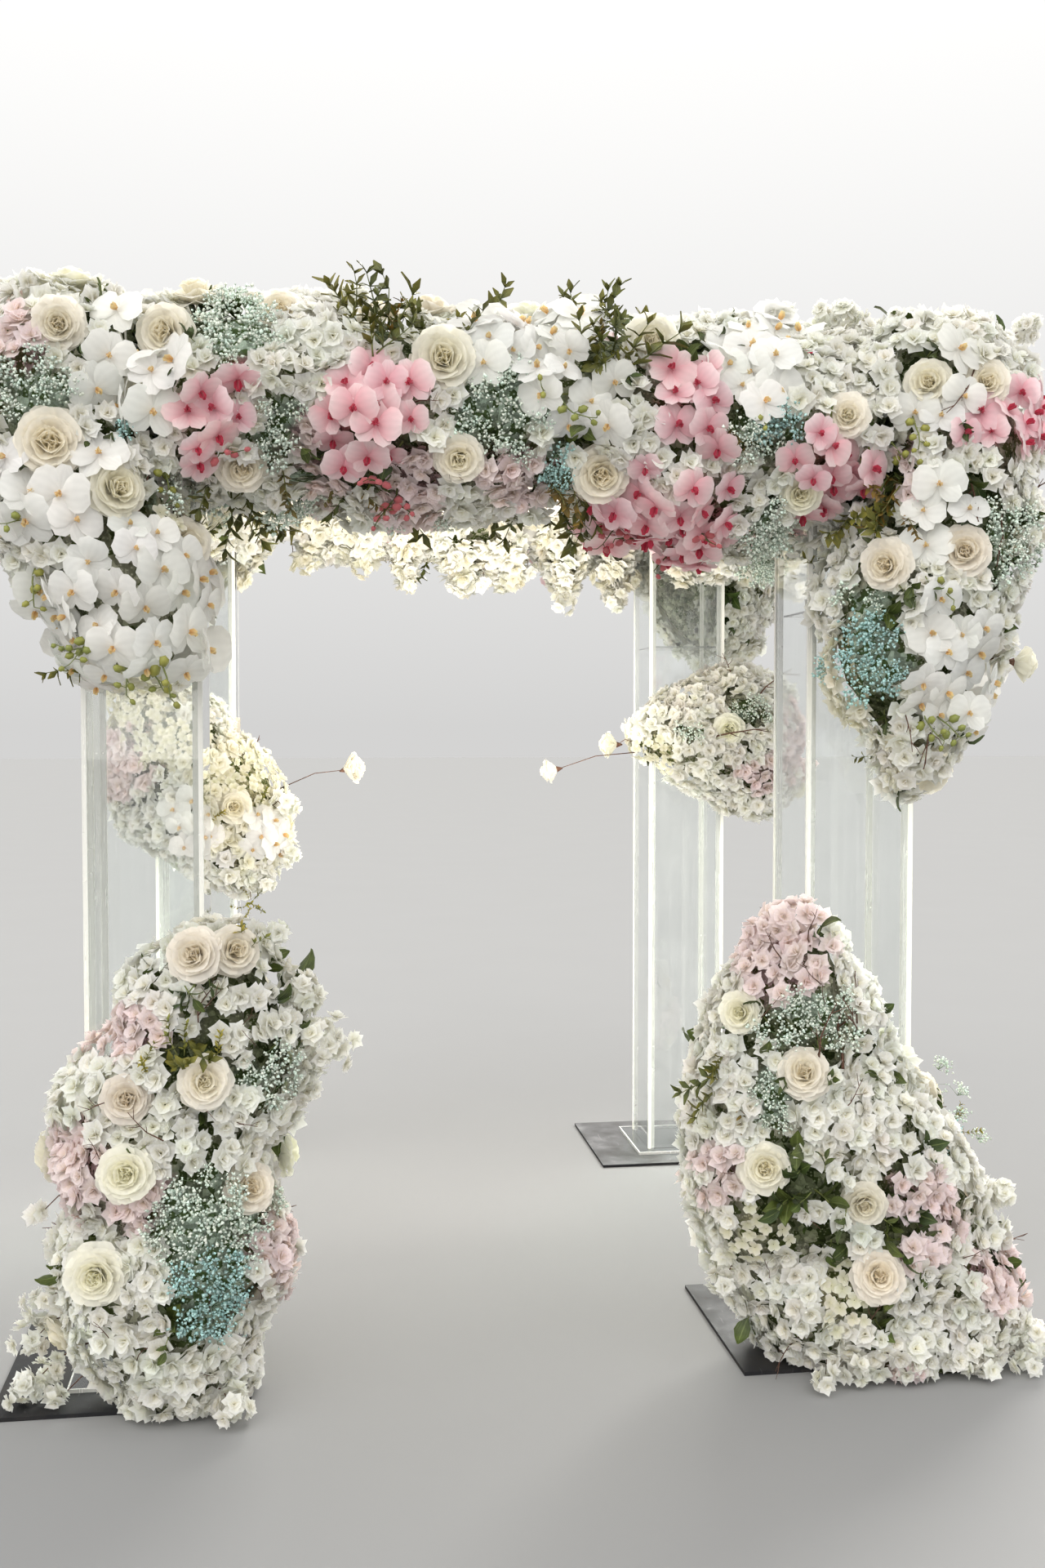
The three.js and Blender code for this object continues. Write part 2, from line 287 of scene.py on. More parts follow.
    def blend(self, share: object, other: bpy.types.Node) -> None:
        """Makes the surface a mix of the Principled shader and another one."""
        both = self.put(self.add("ShaderNodeMixShader"), Fac=share)
        self.join(self.skin, "BSDF", both, 1)
        self.join(other, "BSDF", both, 2)
        self.join(both, "Shader", self.output, "Surface")

    def glow_through(self, colour: object, share: float) -> None:
        """Lets light through the thin surface, as fabric does."""
        self.blend(share, self.put(self.add("ShaderNodeBsdfTranslucent"), Color=colour))


@dataclass(frozen=True)
class Finish:
    """A finish of the canopy, painted by its own class."""

    name: str

    def paint(self, nodes: Nodes) -> None:
        """Adds the finish's own nodes.

        Args:
            nodes: The new material's nodes.
        """
        raise NotImplementedError

    def build(self) -> bpy.types.Material:
        """Makes the material."""
        nodes = Nodes(self.name)
        self.paint(nodes)
        return nodes.material


@dataclass(frozen=True)
class PetalFinish(Finish):
    """Dyed fabric petals: the colour is stored on each petal, with veins and a fine weave."""

    roughness: float = 0.78
    sheer: float = 0.42
    veins: float = 14.0
    sheen: float = 0.25

    def paint(self, nodes: Nodes) -> None:
        """Wears the dye a little and presses veins and weave into it."""
        vein = nodes.maths("SINE", nodes.maths("MULTIPLY", nodes.attribute("across", "Fac"), self.veins))
        blotch = nodes.spread(nodes.noise(38.0), 0.3, 0.7, 0.95, 1.0)
        worn = nodes.maths("MULTIPLY", blotch, nodes.spread(vein, -1.0, 1.0, 0.965, 1.0))
        colour = nodes.dimmed(nodes.attribute("tone"), worn)
        nodes.set(Base_Color=colour, Roughness=self.roughness, Sheen_Weight=self.sheen)
        nodes.set(Specular_IOR_Level=0.3)
        weave = nodes.maths("ADD", nodes.noise(900.0, 1.0), nodes.maths("MULTIPLY", vein, 0.6))
        nodes.bump(weave, 0.35, 0.0008)
        nodes.glow_through(colour, self.sheer)


@dataclass(frozen=True)
class LeafFinish(Finish):
    """Leaves and stems: stored green with a paler midrib and a slight wax gloss."""

    roughness: float = 0.42
    midrib: float = 0.55
    mottle: float = 0.65

    def paint(self, nodes: Nodes) -> None:
        """Mottles the green and draws the midrib and the side veins."""
        across = nodes.maths("ABSOLUTE", nodes.attribute("across", "Fac"))
        patches = nodes.spread(nodes.noise(60.0), 0.3, 0.7, self.mottle, 1.1)
        colour = nodes.dimmed(nodes.attribute("tone"), patches)
        rib = nodes.spread(across, 0.0, 0.12, self.midrib, 0.0)
        colour = nodes.mix(rib, colour, shade(128, 140, 84))
        nodes.set(Base_Color=colour, Roughness=self.roughness, Specular_IOR_Level=0.45)
        side_veins = nodes.maths("SINE", nodes.maths("MULTIPLY", across, 22.0))
        nodes.bump(nodes.maths("ADD", side_veins, nodes.noise(300.0)), 0.3, 0.001)


@dataclass(frozen=True)
class TwigFinish(Finish):
    """Rough brown bark on thin twigs."""

    def paint(self, nodes: Nodes) -> None:
        """Streaks dark bark with pale."""
        bark = nodes.noise(220.0, 5.0, 0.7)
        colour = nodes.mix(nodes.spread(bark, 0.35, 0.7, 0.0, 1.0), shade(62, 40, 34), shade(128, 96, 78))
        nodes.set(Base_Color=colour, Roughness=nodes.spread(bark, 0.3, 0.7, 0.75, 0.95))
        nodes.bump(bark, 0.7, 0.0015)


@dataclass(frozen=True)
class BedFinish(Finish):
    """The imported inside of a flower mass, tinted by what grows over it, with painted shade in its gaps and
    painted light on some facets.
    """

    # Colour multiplied into the gaps as painted shade
    shade_tint: Colour = (0.55, 0.56, 0.42)
    leaf: Colour = (0.30, 0.38, 0.18)

    def paint(self, nodes: Nodes) -> None:
        """Paints shade into the gaps, greens some facets and paints light onto others."""
        dye = nodes.attribute("tone")
        clods = nodes.noise(46.0, 6.0, 0.7)
        crumbs = nodes.cells(110.0).outputs["Distance"]
        facets = nodes.cells(58.0)
        # Painted shade: darker between the crumbs and where the clod noise is low
        gaps = nodes.spread(crumbs, 0.25, 0.8, 0.0, 0.35)
        shadow = nodes.maths("MAXIMUM", nodes.spread(clods, 0.38, 0.58, 0.3, 0.0), gaps)
        colour = nodes.mix(shadow, dye, nodes.times(dye, self.shade_tint))
        chances = nodes.add("ShaderNodeSeparateColor")
        nodes.join(facets, "Color", chances, 0)
        leafy = nodes.spread(chances.outputs["Red"], 0.42, 0.5, 1.0, 0.0)
        colour = nodes.mix(leafy, colour, nodes.times(colour, self.leaf))
        # Painted light: some facets and the middles of the crumbs are lightened to twice the bed's tone
        painted_light_tone = nodes.mix(1.0, dye, dye, "ADD")
        colour = nodes.mix(nodes.spread(chances.outputs["Green"], 0.74, 0.8, 0.0, 0.8), colour, painted_light_tone)
        colour = nodes.mix(nodes.spread(crumbs, 0.2, 0.34, 0.7, 0.0), colour, painted_light_tone)
        nodes.set(Base_Color=colour, Roughness=0.95, Specular_IOR_Level=0.1)
        nodes.bump(nodes.maths("SUBTRACT", clods, facets.outputs["Distance"]), 1.0, 0.02)


@dataclass(frozen=True)
class AcrylicFinish(Finish):
    """Clear polished sheet: cut edges painted bright as a painted glow, faint upright scratches and smears.
    """

    centre_line: float
    edge_from: float
    corners_only: bool
    tint: Colour = (0.965, 0.98, 0.972)
    # Near-white colour of the cut edges: a painted glow of the light that the sheet carries to them
    edge: Colour = (0.97, 0.965, 0.92)
    milk: float = 0.32
    edge_solid: float = 0.7

    def edge_share(self, nodes: Nodes) -> object:
        """1 where the cut edges of the sheets show and take the painted glow, and 0 elsewhere.

        Args:
            nodes: The new material's nodes.

        Returns:
            The share.
        """
        axes = nodes.add("ShaderNodeSeparateXYZ")
        nodes.feed(axes.inputs[0], nodes.place)
        near = []
        for axis in ("X", "Y"):
            folded = nodes.maths("ABSOLUTE", axes.outputs[axis])
            offset = nodes.maths("ABSOLUTE", nodes.maths("SUBTRACT", folded, self.centre_line))
            near.append(nodes.spread(offset, self.edge_from - 0.001, self.edge_from, 0.0, 1.0))
        return nodes.maths("MULTIPLY" if self.corners_only else "MAXIMUM", near[0], near[1])

    def paint(self, nodes: Nodes) -> None:
        """Smears and scratches the clear sheet, paints a glow onto its cut edges, and lets its shadow be
        light.
        """
        edge = self.edge_share(nodes)
        streaks = nodes.noise(1.0, 4.0, 0.6, nodes.stretched((60.0, 60.0, 1.6)))
        hairs = nodes.noise(1.0, 2.0, 0.5, nodes.stretched((420.0, 420.0, 5.0)))
        haze = nodes.spread(streaks, 0.52, 0.78, 0.02, 0.2)
        for pattern, low, high, to_low, to_high in (
            (nodes.noise(5.0, 4.0, 0.6), 0.45, 0.75, 0.0, 0.1),
            (hairs, 0.68, 0.74, 0.0, 0.16),
            (nodes.cells(26.0).outputs["Distance"], 0.045, 0.07, 0.5, 0.0),
        ):
            haze = nodes.maths("ADD", haze, nodes.spread(pattern, low, high, to_low, to_high))
        milk = nodes.maths("MULTIPLY", haze, self.milk)
        rough = nodes.maths("ADD", nodes.maths("MULTIPLY", haze, 0.3), nodes.maths("MULTIPLY", edge, 0.25))
        # Painted glow: the cut edges turn near-white and, below, partly solid
        nodes.set(Base_Color=nodes.mix(edge, self.tint, self.edge), Roughness=rough)
        solid = nodes.maths("MAXIMUM", milk, nodes.maths("MULTIPLY", edge, self.edge_solid))
        nodes.set(IOR=1.49, Transmission_Weight=nodes.maths("SUBTRACT", 1.0, solid))
        clear = nodes.put(nodes.add("ShaderNodeBsdfTransparent"), Color=self.tint)
        nodes.blend(nodes.add("ShaderNodeLightPath").outputs["Is Shadow Ray"], clear)


@dataclass(frozen=True)
class SteelFinish(Finish):
    """Black coated steel plate with dust, scuffs and a few bare scratches."""

    def paint(self, nodes: Nodes) -> None:
        """Dusts and scuffs the black coat."""
        dust = nodes.noise(7.0, 5.0, 0.65)
        scuffs = nodes.noise(1.0, 3.0, 0.6, nodes.stretched((90.0, 9.0, 9.0)))
        dusty = nodes.spread(dust, 0.45, 0.75, 0.0, 0.35)
        colour = nodes.mix(dusty, (0.012, 0.012, 0.014), (0.09, 0.08, 0.065))
        colour = nodes.mix(nodes.spread(scuffs, 0.66, 0.72, 0.0, 0.25), colour, (0.16, 0.16, 0.16))
        nodes.set(Base_Color=colour, Roughness=nodes.spread(dust, 0.3, 0.7, 0.5, 0.8))
        nodes.set(Specular_IOR_Level=0.25)
        nodes.bump(nodes.noise(260.0, 2.0), 0.15, 0.0006)


@dataclass(frozen=True)
class PaintFinish(Finish):
    """White satin paint with faint orange peel and a few grubby marks."""

    def paint(self, nodes: Nodes) -> None:
        """Marks the white and roughens it slightly."""
        marks = nodes.spread(nodes.noise(6.0, 5.0, 0.7), 0.55, 0.8, 0.0, 0.25)
        nodes.set(Base_Color=nodes.mix(marks, (0.84, 0.83, 0.8), (0.55, 0.52, 0.46)), Roughness=0.42)
        nodes.bump(nodes.noise(420.0, 2.0), 0.12, 0.0005)


@dataclass(frozen=True)
class ClothFinish(Finish):
    """Ivory woven cloth that glows with the light behind it."""

    colour: Colour = shade(242, 234, 217)
    sheer: float = 0.55
    threads: float = 260.0

    def paint(self, nodes: Nodes) -> None:
        """Weaves the threads and stains them faintly."""
        across, along = (
            nodes.put(
                nodes.add("ShaderNodeTexWave", wave_type="BANDS", bands_direction=axis),
                Vector=nodes.place, Scale=self.threads, Distortion=0.6
            ).outputs["Fac"]
            for axis in ("X", "Y")
        )
        weave = nodes.maths("MULTIPLY", across, along)
        stain = nodes.spread(nodes.noise(2.4, 4.0), 0.35, 0.75, 0.0, 0.3)
        colour = nodes.mix(stain, self.colour, shade(236, 222, 196))
        colour = nodes.mix(nodes.spread(weave, 0.0, 1.0, 0.12, 0.0), colour, shade(214, 200, 172))
        nodes.set(Base_Color=colour, Roughness=0.88, Sheen_Weight=0.1, Specular_IOR_Level=0.2)
        nodes.bump(weave, 0.4, 0.0008)
        nodes.glow_through(colour, self.sheer)


class Bench:
    """Where new pieces are modelled: starts a primitive, picks parts of it and works on them."""

    @staticmethod
    def clear() -> None:
        """Leaves object mode with nothing selected."""
        if bpy.context.object and bpy.context.object.mode != "OBJECT":
            bpy.ops.object.mode_set(mode="OBJECT")
        bpy.ops.object.select_all(action="DESELECT")

    @staticmethod
    def hold(obj: bpy.types.Object) -> None:
        """Selects one object alone, in object mode."""
        Bench.clear()
        bpy.context.view_layer.objects.active = obj
        obj.select_set(True)

    @staticmethod
    def pick(obj: bpy.types.Object, wanted: Callable[[bmesh.types.BMVert], bool]) -> None:
        """Selects the wanted vertices of an object in edit mode.

        Args:
            obj: The object.
            wanted: Says of a vertex whether it is selected.
        """
        mesh = bmesh.from_edit_mesh(obj.data)
        for vert in mesh.verts:
            vert.select_set(wanted(vert))
        mesh.select_flush_mode()
        bmesh.update_edit_mesh(obj.data)

    @staticmethod
    def modify(obj: bpy.types.Object, kind: str, **settings: object) -> None:
        """Adds a modifier, sets it and applies it.

        Args:
            obj: The object.
            kind: The modifier's type.
            settings: Its properties.
        """
        Bench.hold(obj)
        modifier = obj.modifiers.new(kind.title(), kind)
        for key, value in settings.items():
            setattr(modifier, key, value)
        bpy.ops.object.modifier_apply(modifier=modifier.name)

    @staticmethod
    def settle(obj: bpy.types.Object, name: str) -> bpy.types.Object:
        """Names a finished object and moves its place into its mesh.

        Args:
            obj: The object.
            name: Its name.

        Returns:
            The same object.
        """
        Bench.hold(obj)
        bpy.ops.object.transform_apply(location=True, rotation=True, scale=True)
        obj.name = name
        obj.data.name = name
        return obj

    @staticmethod
    def smooth(obj: bpy.types.Object) -> None:
        """Shades an object smooth."""
        for face in obj.data.polygons:
            face.use_smooth = True


def turned(spot: Sequence[float], around: float, lean: float) -> Matrix:
    """Places a petal or leaf at a spot, turned about Z and leaning up from the flat, in radians."""
    return Matrix.Translation(spot) @ Matrix.Rotation(around, 4, "Z") @ Matrix.Rotation(lean, 4, "X")


def facing(spot: Vector, aim: Vector) -> Matrix:
    """Places a thing at a spot with its top the way of aim."""
    return Matrix.Translation(spot) @ aim.to_track_quat("Z", "Y").to_matrix().to_4x4()


@dataclass
class Stock:
    """One modelled small thing as arrays, ready to be copied many times.

    Attributes:
        points: Vertex places, one row each.
        loops: Vertex numbers of all faces, end to end.
        counts: How many corners each face has.
        tone: Colour of each vertex.
        across: Place across the petal or leaf at each vertex, -1 to 1.
    """

    points: np.ndarray
    loops: np.ndarray
    counts: np.ndarray
    tone: np.ndarray
    across: np.ndarray

    @staticmethod
    def taken(obj: bpy.types.Object) -> "Stock":
        """Reads a modelled object into arrays and removes the object.

        Args:
            obj: The object.

        Returns:
            The arrays, undyed.
        """
        mesh = obj.data
        points = np.empty(len(mesh.vertices) * 3)
        mesh.vertices.foreach_get("co", points)
        loops = np.empty(len(mesh.loops), int)
        mesh.loops.foreach_get("vertex_index", loops)
        counts = np.empty(len(mesh.polygons), int)
        mesh.polygons.foreach_get("loop_total", counts)
        points = points.reshape(-1, 3)
        bpy.data.objects.remove(obj)
        return Stock(points, loops, counts, np.ones((len(points), 3)), np.zeros(len(points)))

    def placed(self, turn: Matrix, scale: float = 1.0, tone: Colour | None = None) -> "Stock":
        """A copy that is scaled, then turned and moved, and dyed if a tone is given.

        Args:
            turn: Its place and turn.
            scale: Its size.
            tone: A colour that multiplies its own.

        Returns:
            The copy.
        """
        grid = np.array(turn)
        points = (self.points * scale) @ grid[:3, :3].T + grid[:3, 3]
        dyed = self.tone if tone is None else self.tone * np.array(tone)
        return Stock(points, self.loops, self.counts, dyed, self.across)

    @staticmethod
    def gathered(parts: Sequence["Stock"]) -> "Stock":
        """Several stocks joined into one.

        Args:
            parts: The stocks.

        Returns:
            The joined stock.
        """
        starts = np.cumsum([0] + [len(part.points) for part in parts[:-1]])
        loops = np.concatenate([part.loops + start for part, start in zip(parts, starts)])
        points, counts, tone, across = (
            np.concatenate([getattr(part, name) for part in parts])
            for name in ("points", "counts", "tone", "across")
        )
        return Stock(points, loops, counts, tone, across)

    def triangles(self) -> int:
        """How many triangles one copy has."""
        return int((self.counts - 2).sum())


@dataclass(frozen=True)
class PetalCut:
    """How one petal is cut and pressed, from its base to its rim, for a flower of radius 1.

    Attributes:
        columns: Strips across the petal.
        widths: Half width of each row of points.
        lengths: Distance of each row from the base.
        lifts: Height of each row.
        cup: How far the side edges rise.
        ruffle: How far the rim waves up, down, in and out.
        base: Colour at the base.
        rim: Colour at the rim.
    """

    columns: int
    widths: tuple[float, ...]
    lengths: tuple[float, ...]
    lifts: tuple[float, ...]
    cup: float
    ruffle: float
    base: Colour
    rim: Colour

    def press(self) -> Stock:
        """Models the petal from a flat grid.

        Returns:
            The petal as stock, its base at the origin and its length along +Y.
        """
        rows = len(self.widths)
        Bench.clear()
        bpy.ops.mesh.primitive_grid_add(x_subdivisions=self.columns, y_subdivisions=rows - 1, size=2)
        petal = bpy.context.object
        wide = self.columns + 1
        bpy.ops.object.mode_set(mode="EDIT")
        for row in range(rows):
            Bench.pick(petal, lambda vert: vert.index // wide == row)
            was = -1 + 2 * row / (rows - 1)
            bpy.ops.transform.resize(value=(self.widths[row], 1, 1), center_override=(0, 0, 0))
            bpy.ops.transform.translate(value=(0, self.lengths[row] - was, self.lifts[row]))
        for column in range(wide):
            side = -1 + 2 * column / self.columns
            Bench.pick(petal, lambda vert: vert.index % wide == column)
            bpy.ops.transform.translate(value=(0, 0, self.cup * side * side))
            if self.ruffle:
                wave = self.ruffle * (1 if column % 2 else -1)
                Bench.pick(petal, lambda vert: vert.index == (rows - 1) * wide + column)
                bpy.ops.transform.translate(value=(0, wave, wave * 0.7))
        bpy.ops.object.mode_set(mode="OBJECT")
        stock = Stock.taken(petal)
        order = np.arange(len(stock.points))
        along = (order // wide / (rows - 1))[:, None]
        stock.tone = np.array(self.base) * (1 - along) + np.array(self.rim) * along
        stock.across = -1 + 2 * (order % wide) / self.columns
        return stock


@dataclass(frozen=True)
class Whorl:
    """A ring of like petals.

    Attributes:
        petal: The petal's cut.
        count: How many stand in the ring.
        open_deg: Angle of the petals above the flat.
        out: Distance of their bases from the middle.
        up: Height of their bases.
        start_deg: Turn of the first petal.
    """

    petal: PetalCut
    count: int
    open_deg: float
    out: float = 0.05
    up: float = 0.0
    start_deg: float = 0.0

    def lay(self, pressed: Stock, luck: np.random.Generator, unruly: float) -> list[Stock]:
        """Places the ring's petals, each a little out of true.

        Args:
            pressed: The petal.
            luck: The flower's disorder.
            unruly: How strong that is.

        Returns:
            The petals.
        """
        parts = []
        for index in range(self.count):
            around = math.radians(self.start_deg) + index * 2 * math.pi / self.count
            around += luck.normal(0, 0.12 * unruly)
            lean = math.radians(self.open_deg + luck.normal(0, 11 * unruly))
            twist = luck.normal(0, 0.16 * unruly)
            turn = (
                Matrix.Rotation(around, 4, "Z")
                @ Matrix.Translation((0, self.out, self.up))
                @ Matrix.Rotation(lean, 4, "X")
                @ Matrix.Rotation(twist, 4, "Y")
            )
            parts.append(pressed.placed(turn, 1 + luck.normal(0, 0.07 * unruly)))
        return parts


@dataclass(frozen=True)
class Flower:
    """A kind of flower, as whorls from the outside in, of radius about 1 and facing +Z."""

    whorls: tuple[Whorl, ...]
    unruly: float = 1.0

    def make(self, variants: int, seed: int) -> list[Stock]:
        """Models the flower several times over, each with its own disorder.

        Args:
            variants: How many to make.
            seed: Seed of the disorder.

        Returns:
            One stock for each variant.
        """
        luck = np.random.default_rng(seed)
        rings = [(whorl, whorl.petal.press()) for whorl in self.whorls]
        return [
            Stock.gathered([part for whorl, petal in rings for part in whorl.lay(petal, luck, self.unruly)])
            for _ in range(variants)
        ]


WHITE = (0.945, 0.945, 0.912)
IVORY = shade(253, 249, 237)
CREAM_YELLOW = shade(253, 248, 231)
HEART = shade(255, 249, 232)
WARM_HEART = shade(255, 245, 208)
ROSE_PINK = shade(236, 170, 181)
PALE_PINK = shade(253, 232, 233)
THROAT = shade(204, 70, 94)
YELLOW = shade(250, 232, 180)
AMBER = shade(226, 180, 116)
LEAF_GREEN = shade(52, 68, 34)
STEM_GREEN = shade(86, 96, 40)
BUD_GREEN = shade(134, 136, 34)

BLOSSOM_WIDE = PetalCut(
    2, (0.16, 0.55, 0.54), (0.05, 0.52, 0.96), (0.0, 0.06, 0.0), 0.10, -0.07, (0.84, 0.83, 0.71), WHITE
)
BLOSSOM_SMALL = PetalCut(
    2, (0.12, 0.44, 0.44), (0.02, 0.41, 0.77), (0.0, 0.07, 0.02), 0.10, 0.09, (0.83, 0.81, 0.66), WHITE
)
BLOSSOM_TUFT = PetalCut(2, (0.16, 0.34), (0.0, 0.52), (0.0, 0.02), 0.08, 0.08, (0.92, 0.88, 0.70), WHITE)
BLOSSOM = Flower((
    Whorl(BLOSSOM_WIDE, 5, 8),
    Whorl(BLOSSOM_SMALL, 5, 36, start_deg=36, up=0.06),
    Whorl(BLOSSOM_TUFT, 3, 62, start_deg=10, up=0.08),
))
PLAIN_BLOSSOM = Flower((
    Whorl(BLOSSOM_WIDE, 5, 6),
    Whorl(BLOSSOM_SMALL, 4, 38, start_deg=36, up=0.06),
))

ROSE_GUARD = PetalCut(
    4, (0.18, 0.54, 0.64, 0.46), (0.0, 0.40, 0.74, 0.92), (0.0, 0.05, 0.06, -0.06),
    0.14, 0.012, IVORY, IVORY
)
ROSE_MIDDLE = PetalCut(
    4, (0.20, 0.48, 0.56, 0.40), (0.0, 0.34, 0.64, 0.80), (0.0, 0.02, 0.04, -0.06),
    0.20, 0.01, CREAM_YELLOW, IVORY
)
ROSE_INNER = PetalCut(
    4, (0.18, 0.36, 0.42, 0.30), (0.0, 0.30, 0.58, 0.72), (0.0, 0.0, 0.03, -0.05),
    0.22, 0.01, HEART, CREAM_YELLOW
)
ROSE_HEART = PetalCut(
    3, (0.12, 0.22, 0.26, 0.20), (0.0, 0.28, 0.54, 0.66), (0.0, 0.0, 0.02, -0.02),
    0.16, 0.01, WARM_HEART, HEART
)
ROSE_OUTSIDE = (
    Whorl(ROSE_GUARD, 5, 8, out=0.12, up=-0.08),
    Whorl(ROSE_GUARD, 5, 26, out=0.14, up=-0.10, start_deg=36),
    Whorl(ROSE_MIDDLE, 5, 40, out=0.17, up=-0.10, start_deg=12),
)
ROSE_BUD = PetalCut(2, (0.13, 0.22, 0.12), (0.0, 0.36, 0.60), (0.0, 0.03, 0.0),
    0.05, 0.0, WARM_HEART, HEART)
ROSE_CORE = (
    Whorl(ROSE_INNER, 5, 63, out=0.16, up=0.0, start_deg=20),
    Whorl(ROSE_HEART, 4, 86, out=0.14, up=0.10, start_deg=50),
    Whorl(ROSE_BUD, 4, 112, out=0.15, up=0.22, start_deg=20),
)
ROSE = Flower((
    *ROSE_OUTSIDE,
    Whorl(ROSE_MIDDLE, 5, 52, out=0.18, up=-0.06, start_deg=48),
    Whorl(ROSE_INNER, 4, 75, out=0.15, up=0.04, start_deg=60),
    Whorl(ROSE_HEART, 4, 103, out=0.13, up=0.14, start_deg=5),
    *ROSE_CORE,
), unruly=0.42)
PLAIN_ROSE = Flower((*ROSE_OUTSIDE, *ROSE_CORE), unruly=0.42)
CUPPED_ROSE = Flower((
    Whorl(ROSE_GUARD, 5, 42, out=0.08, up=-0.34),
    Whorl(ROSE_GUARD, 5, 57, out=0.12, up=-0.30, start_deg=36),
    Whorl(ROSE_MIDDLE, 5, 70, out=0.15, up=-0.16, start_deg=12),
    Whorl(ROSE_INNER, 5, 82, out=0.14, up=0.0, start_deg=48),
    Whorl(ROSE_HEART, 4, 98, out=0.12, up=0.12, start_deg=20),
), unruly=0.42)

FLORET_PETAL = PetalCut(
    2, (0.14, 0.52, 0.36), (0.0, 0.55, 1.0), (0.0, 0.06, 0.02), 0.10, 0.0, (0.80, 0.79, 0.60),
    (0.93, 0.92, 0.86)
)
FLORET = Flower((Whorl(FLORET_PETAL, 4, 12),), unruly=0.6)


@dataclass(frozen=True)
class Orchid:
    """A moth orchid: two broad side petals, three narrower ones behind and a lobed lip."""

    petal: Colour
    rim: Colour
    lip: Colour
    throat: Colour
    lip_size: float = 1.0

    def make(self, variants: int, seed: int) -> list[Stock]:
        """Models the flower, facing +Z with +Y upwards, several times over.

        Args:
            variants: How many to make.
            seed: Seed of the disorder.

        Returns:
            One stock for each variant.
        """
        luck = np.random.default_rng(seed)
        broad = PetalCut(
            4, (0.10, 0.46, 0.67, 0.64, 0.34), (0.0, 0.22, 0.50, 0.78, 1.0), (0.0, 0.04, 0.07, 0.06, -0.02),
            -0.09, 0.0, self.petal, self.rim
        ).press()
        narrow = PetalCut(
            2, (0.10, 0.34, 0.38, 0.16), (0.0, 0.32, 0.64, 0.95), (0.0, 0.0, 0.02, 0.0), -0.05, 0.0,
            self.petal, self.rim
        ).press()
        lobe = PetalCut(
            2, (0.06, 0.12, 0.04), (0.0, 0.13, 0.28), (0.0, 0.05, 0.11), 0.09, 0.0, self.throat, self.lip
        ).press()
        made = []
        for _ in range(variants):
            parts = []
            for side in (-1, 1):
                around = side * math.radians(78 + luck.normal(0, 5))
                lean = math.radians(8 + luck.normal(0, 6))
                parts.append(broad.placed(turned((0, 0, 0.04), around, lean)))
            for around_deg in (0, 142, 218):
                around = math.radians(around_deg + luck.normal(0, 5))
                parts.append(narrow.placed(turned((0, 0, 0), around, math.radians(luck.normal(0, 7)))))
            for around_deg, lean_deg in ((180, 42), (110, 60), (250, 60)):
                turn = turned((0, -0.04, 0.06), math.radians(around_deg), math.radians(lean_deg))
                parts.append(lobe.placed(turn, self.lip_size))
            made.append(Stock.gathered(parts))
        return made


def bead(sides: int, rings: int, tone: Colour) -> Stock:
    """A small round bead of radius 1, modelled from a sphere of few faces.

    Args:
        sides: Faces round it.
        rings: Faces from pole to pole. With 2, its middle rings are merged into one.
        tone: Its colour.

    Returns:
        The bead as stock.
    """
    Bench.clear()
    bpy.ops.mesh.primitive_uv_sphere_add(segments=sides, ring_count=max(rings, 3), radius=1)
    made = bpy.context.object
    bpy.ops.object.mode_set(mode="EDIT")
    if rings == 2:
        Bench.pick(made, lambda vert: abs(vert.co.z) < 0.9)
        bpy.ops.transform.resize(value=(1.15, 1.15, 0), center_override=(0, 0, 0))
        bpy.ops.mesh.remove_doubles(threshold=0.01)
    Bench.pick(made, lambda vert: vert.co.z > 0.9)
    bpy.ops.transform.translate(value=(0, 0, 0.15))
    bpy.ops.object.mode_set(mode="OBJECT")
    stock = Stock.taken(made)
    stock.tone = np.tile(np.array(tone), (len(stock.points), 1))
    return stock


def stalk(path: Sequence[Vector], thick: float, thin: float, tone: Colour, sides: int = 3) -> Stock:
    """A tapering stalk along a path, closed at both ends.

    Args:
        path: Points from root to tip.
        thick: Radius at the root.
        thin: Radius at the tip.
        tone: Its colour.
        sides: Faces round it.

    Returns:
        The stalk as stock.
    """
    points, loops = [], []
    last = len(path) - 1
    for index, point in enumerate(path):
        ahead = path[min(index + 1, last)] - path[max(index - 1, 0)]
        aside = ahead.orthogonal().normalized()
        other = ahead.cross(aside).normalized()
        radius = thick + (thin - thick) * index / last
        for side in range(sides):
            angle = 2 * math.pi * side / sides
            points.append(point + aside * (radius * math.cos(angle)) + other * (radius * math.sin(angle)))
            if index < last:
                low, high, after = index * sides, (index + 1) * sides, (side + 1) % sides
                loops += [low + side, low + after, high + after, high + side]
    loops += [*range(last * sides, (last + 1) * sides), *reversed(range(sides))]
    return Stock(
        np.array([tuple(point) for point in points]),
        np.array(loops),
        np.array([4] * (last * sides) + [sides] * 2),
        np.tile(np.array(tone), (len(points), 1)),
        np.zeros(len(points)),
    )


LEAF_CUT = PetalCut(
    2, (0.04, 0.26, 0.30, 0.16, 0.02), (0.0, 0.28, 0.55, 0.82, 1.0), (0.0, 0.06, 0.08, 0.04, -0.06),
    0.07, 0.0, LEAF_GREEN, shade(72, 92, 44)
)
SMALL_LEAF_CUT = PetalCut(
    2, (0.04, 0.24, 0.03), (0.0, 0.5, 1.0), (0.0, 0.05, 0.0),
    0.06, 0.0, shade(58, 70, 30), shade(110, 116, 52)
)


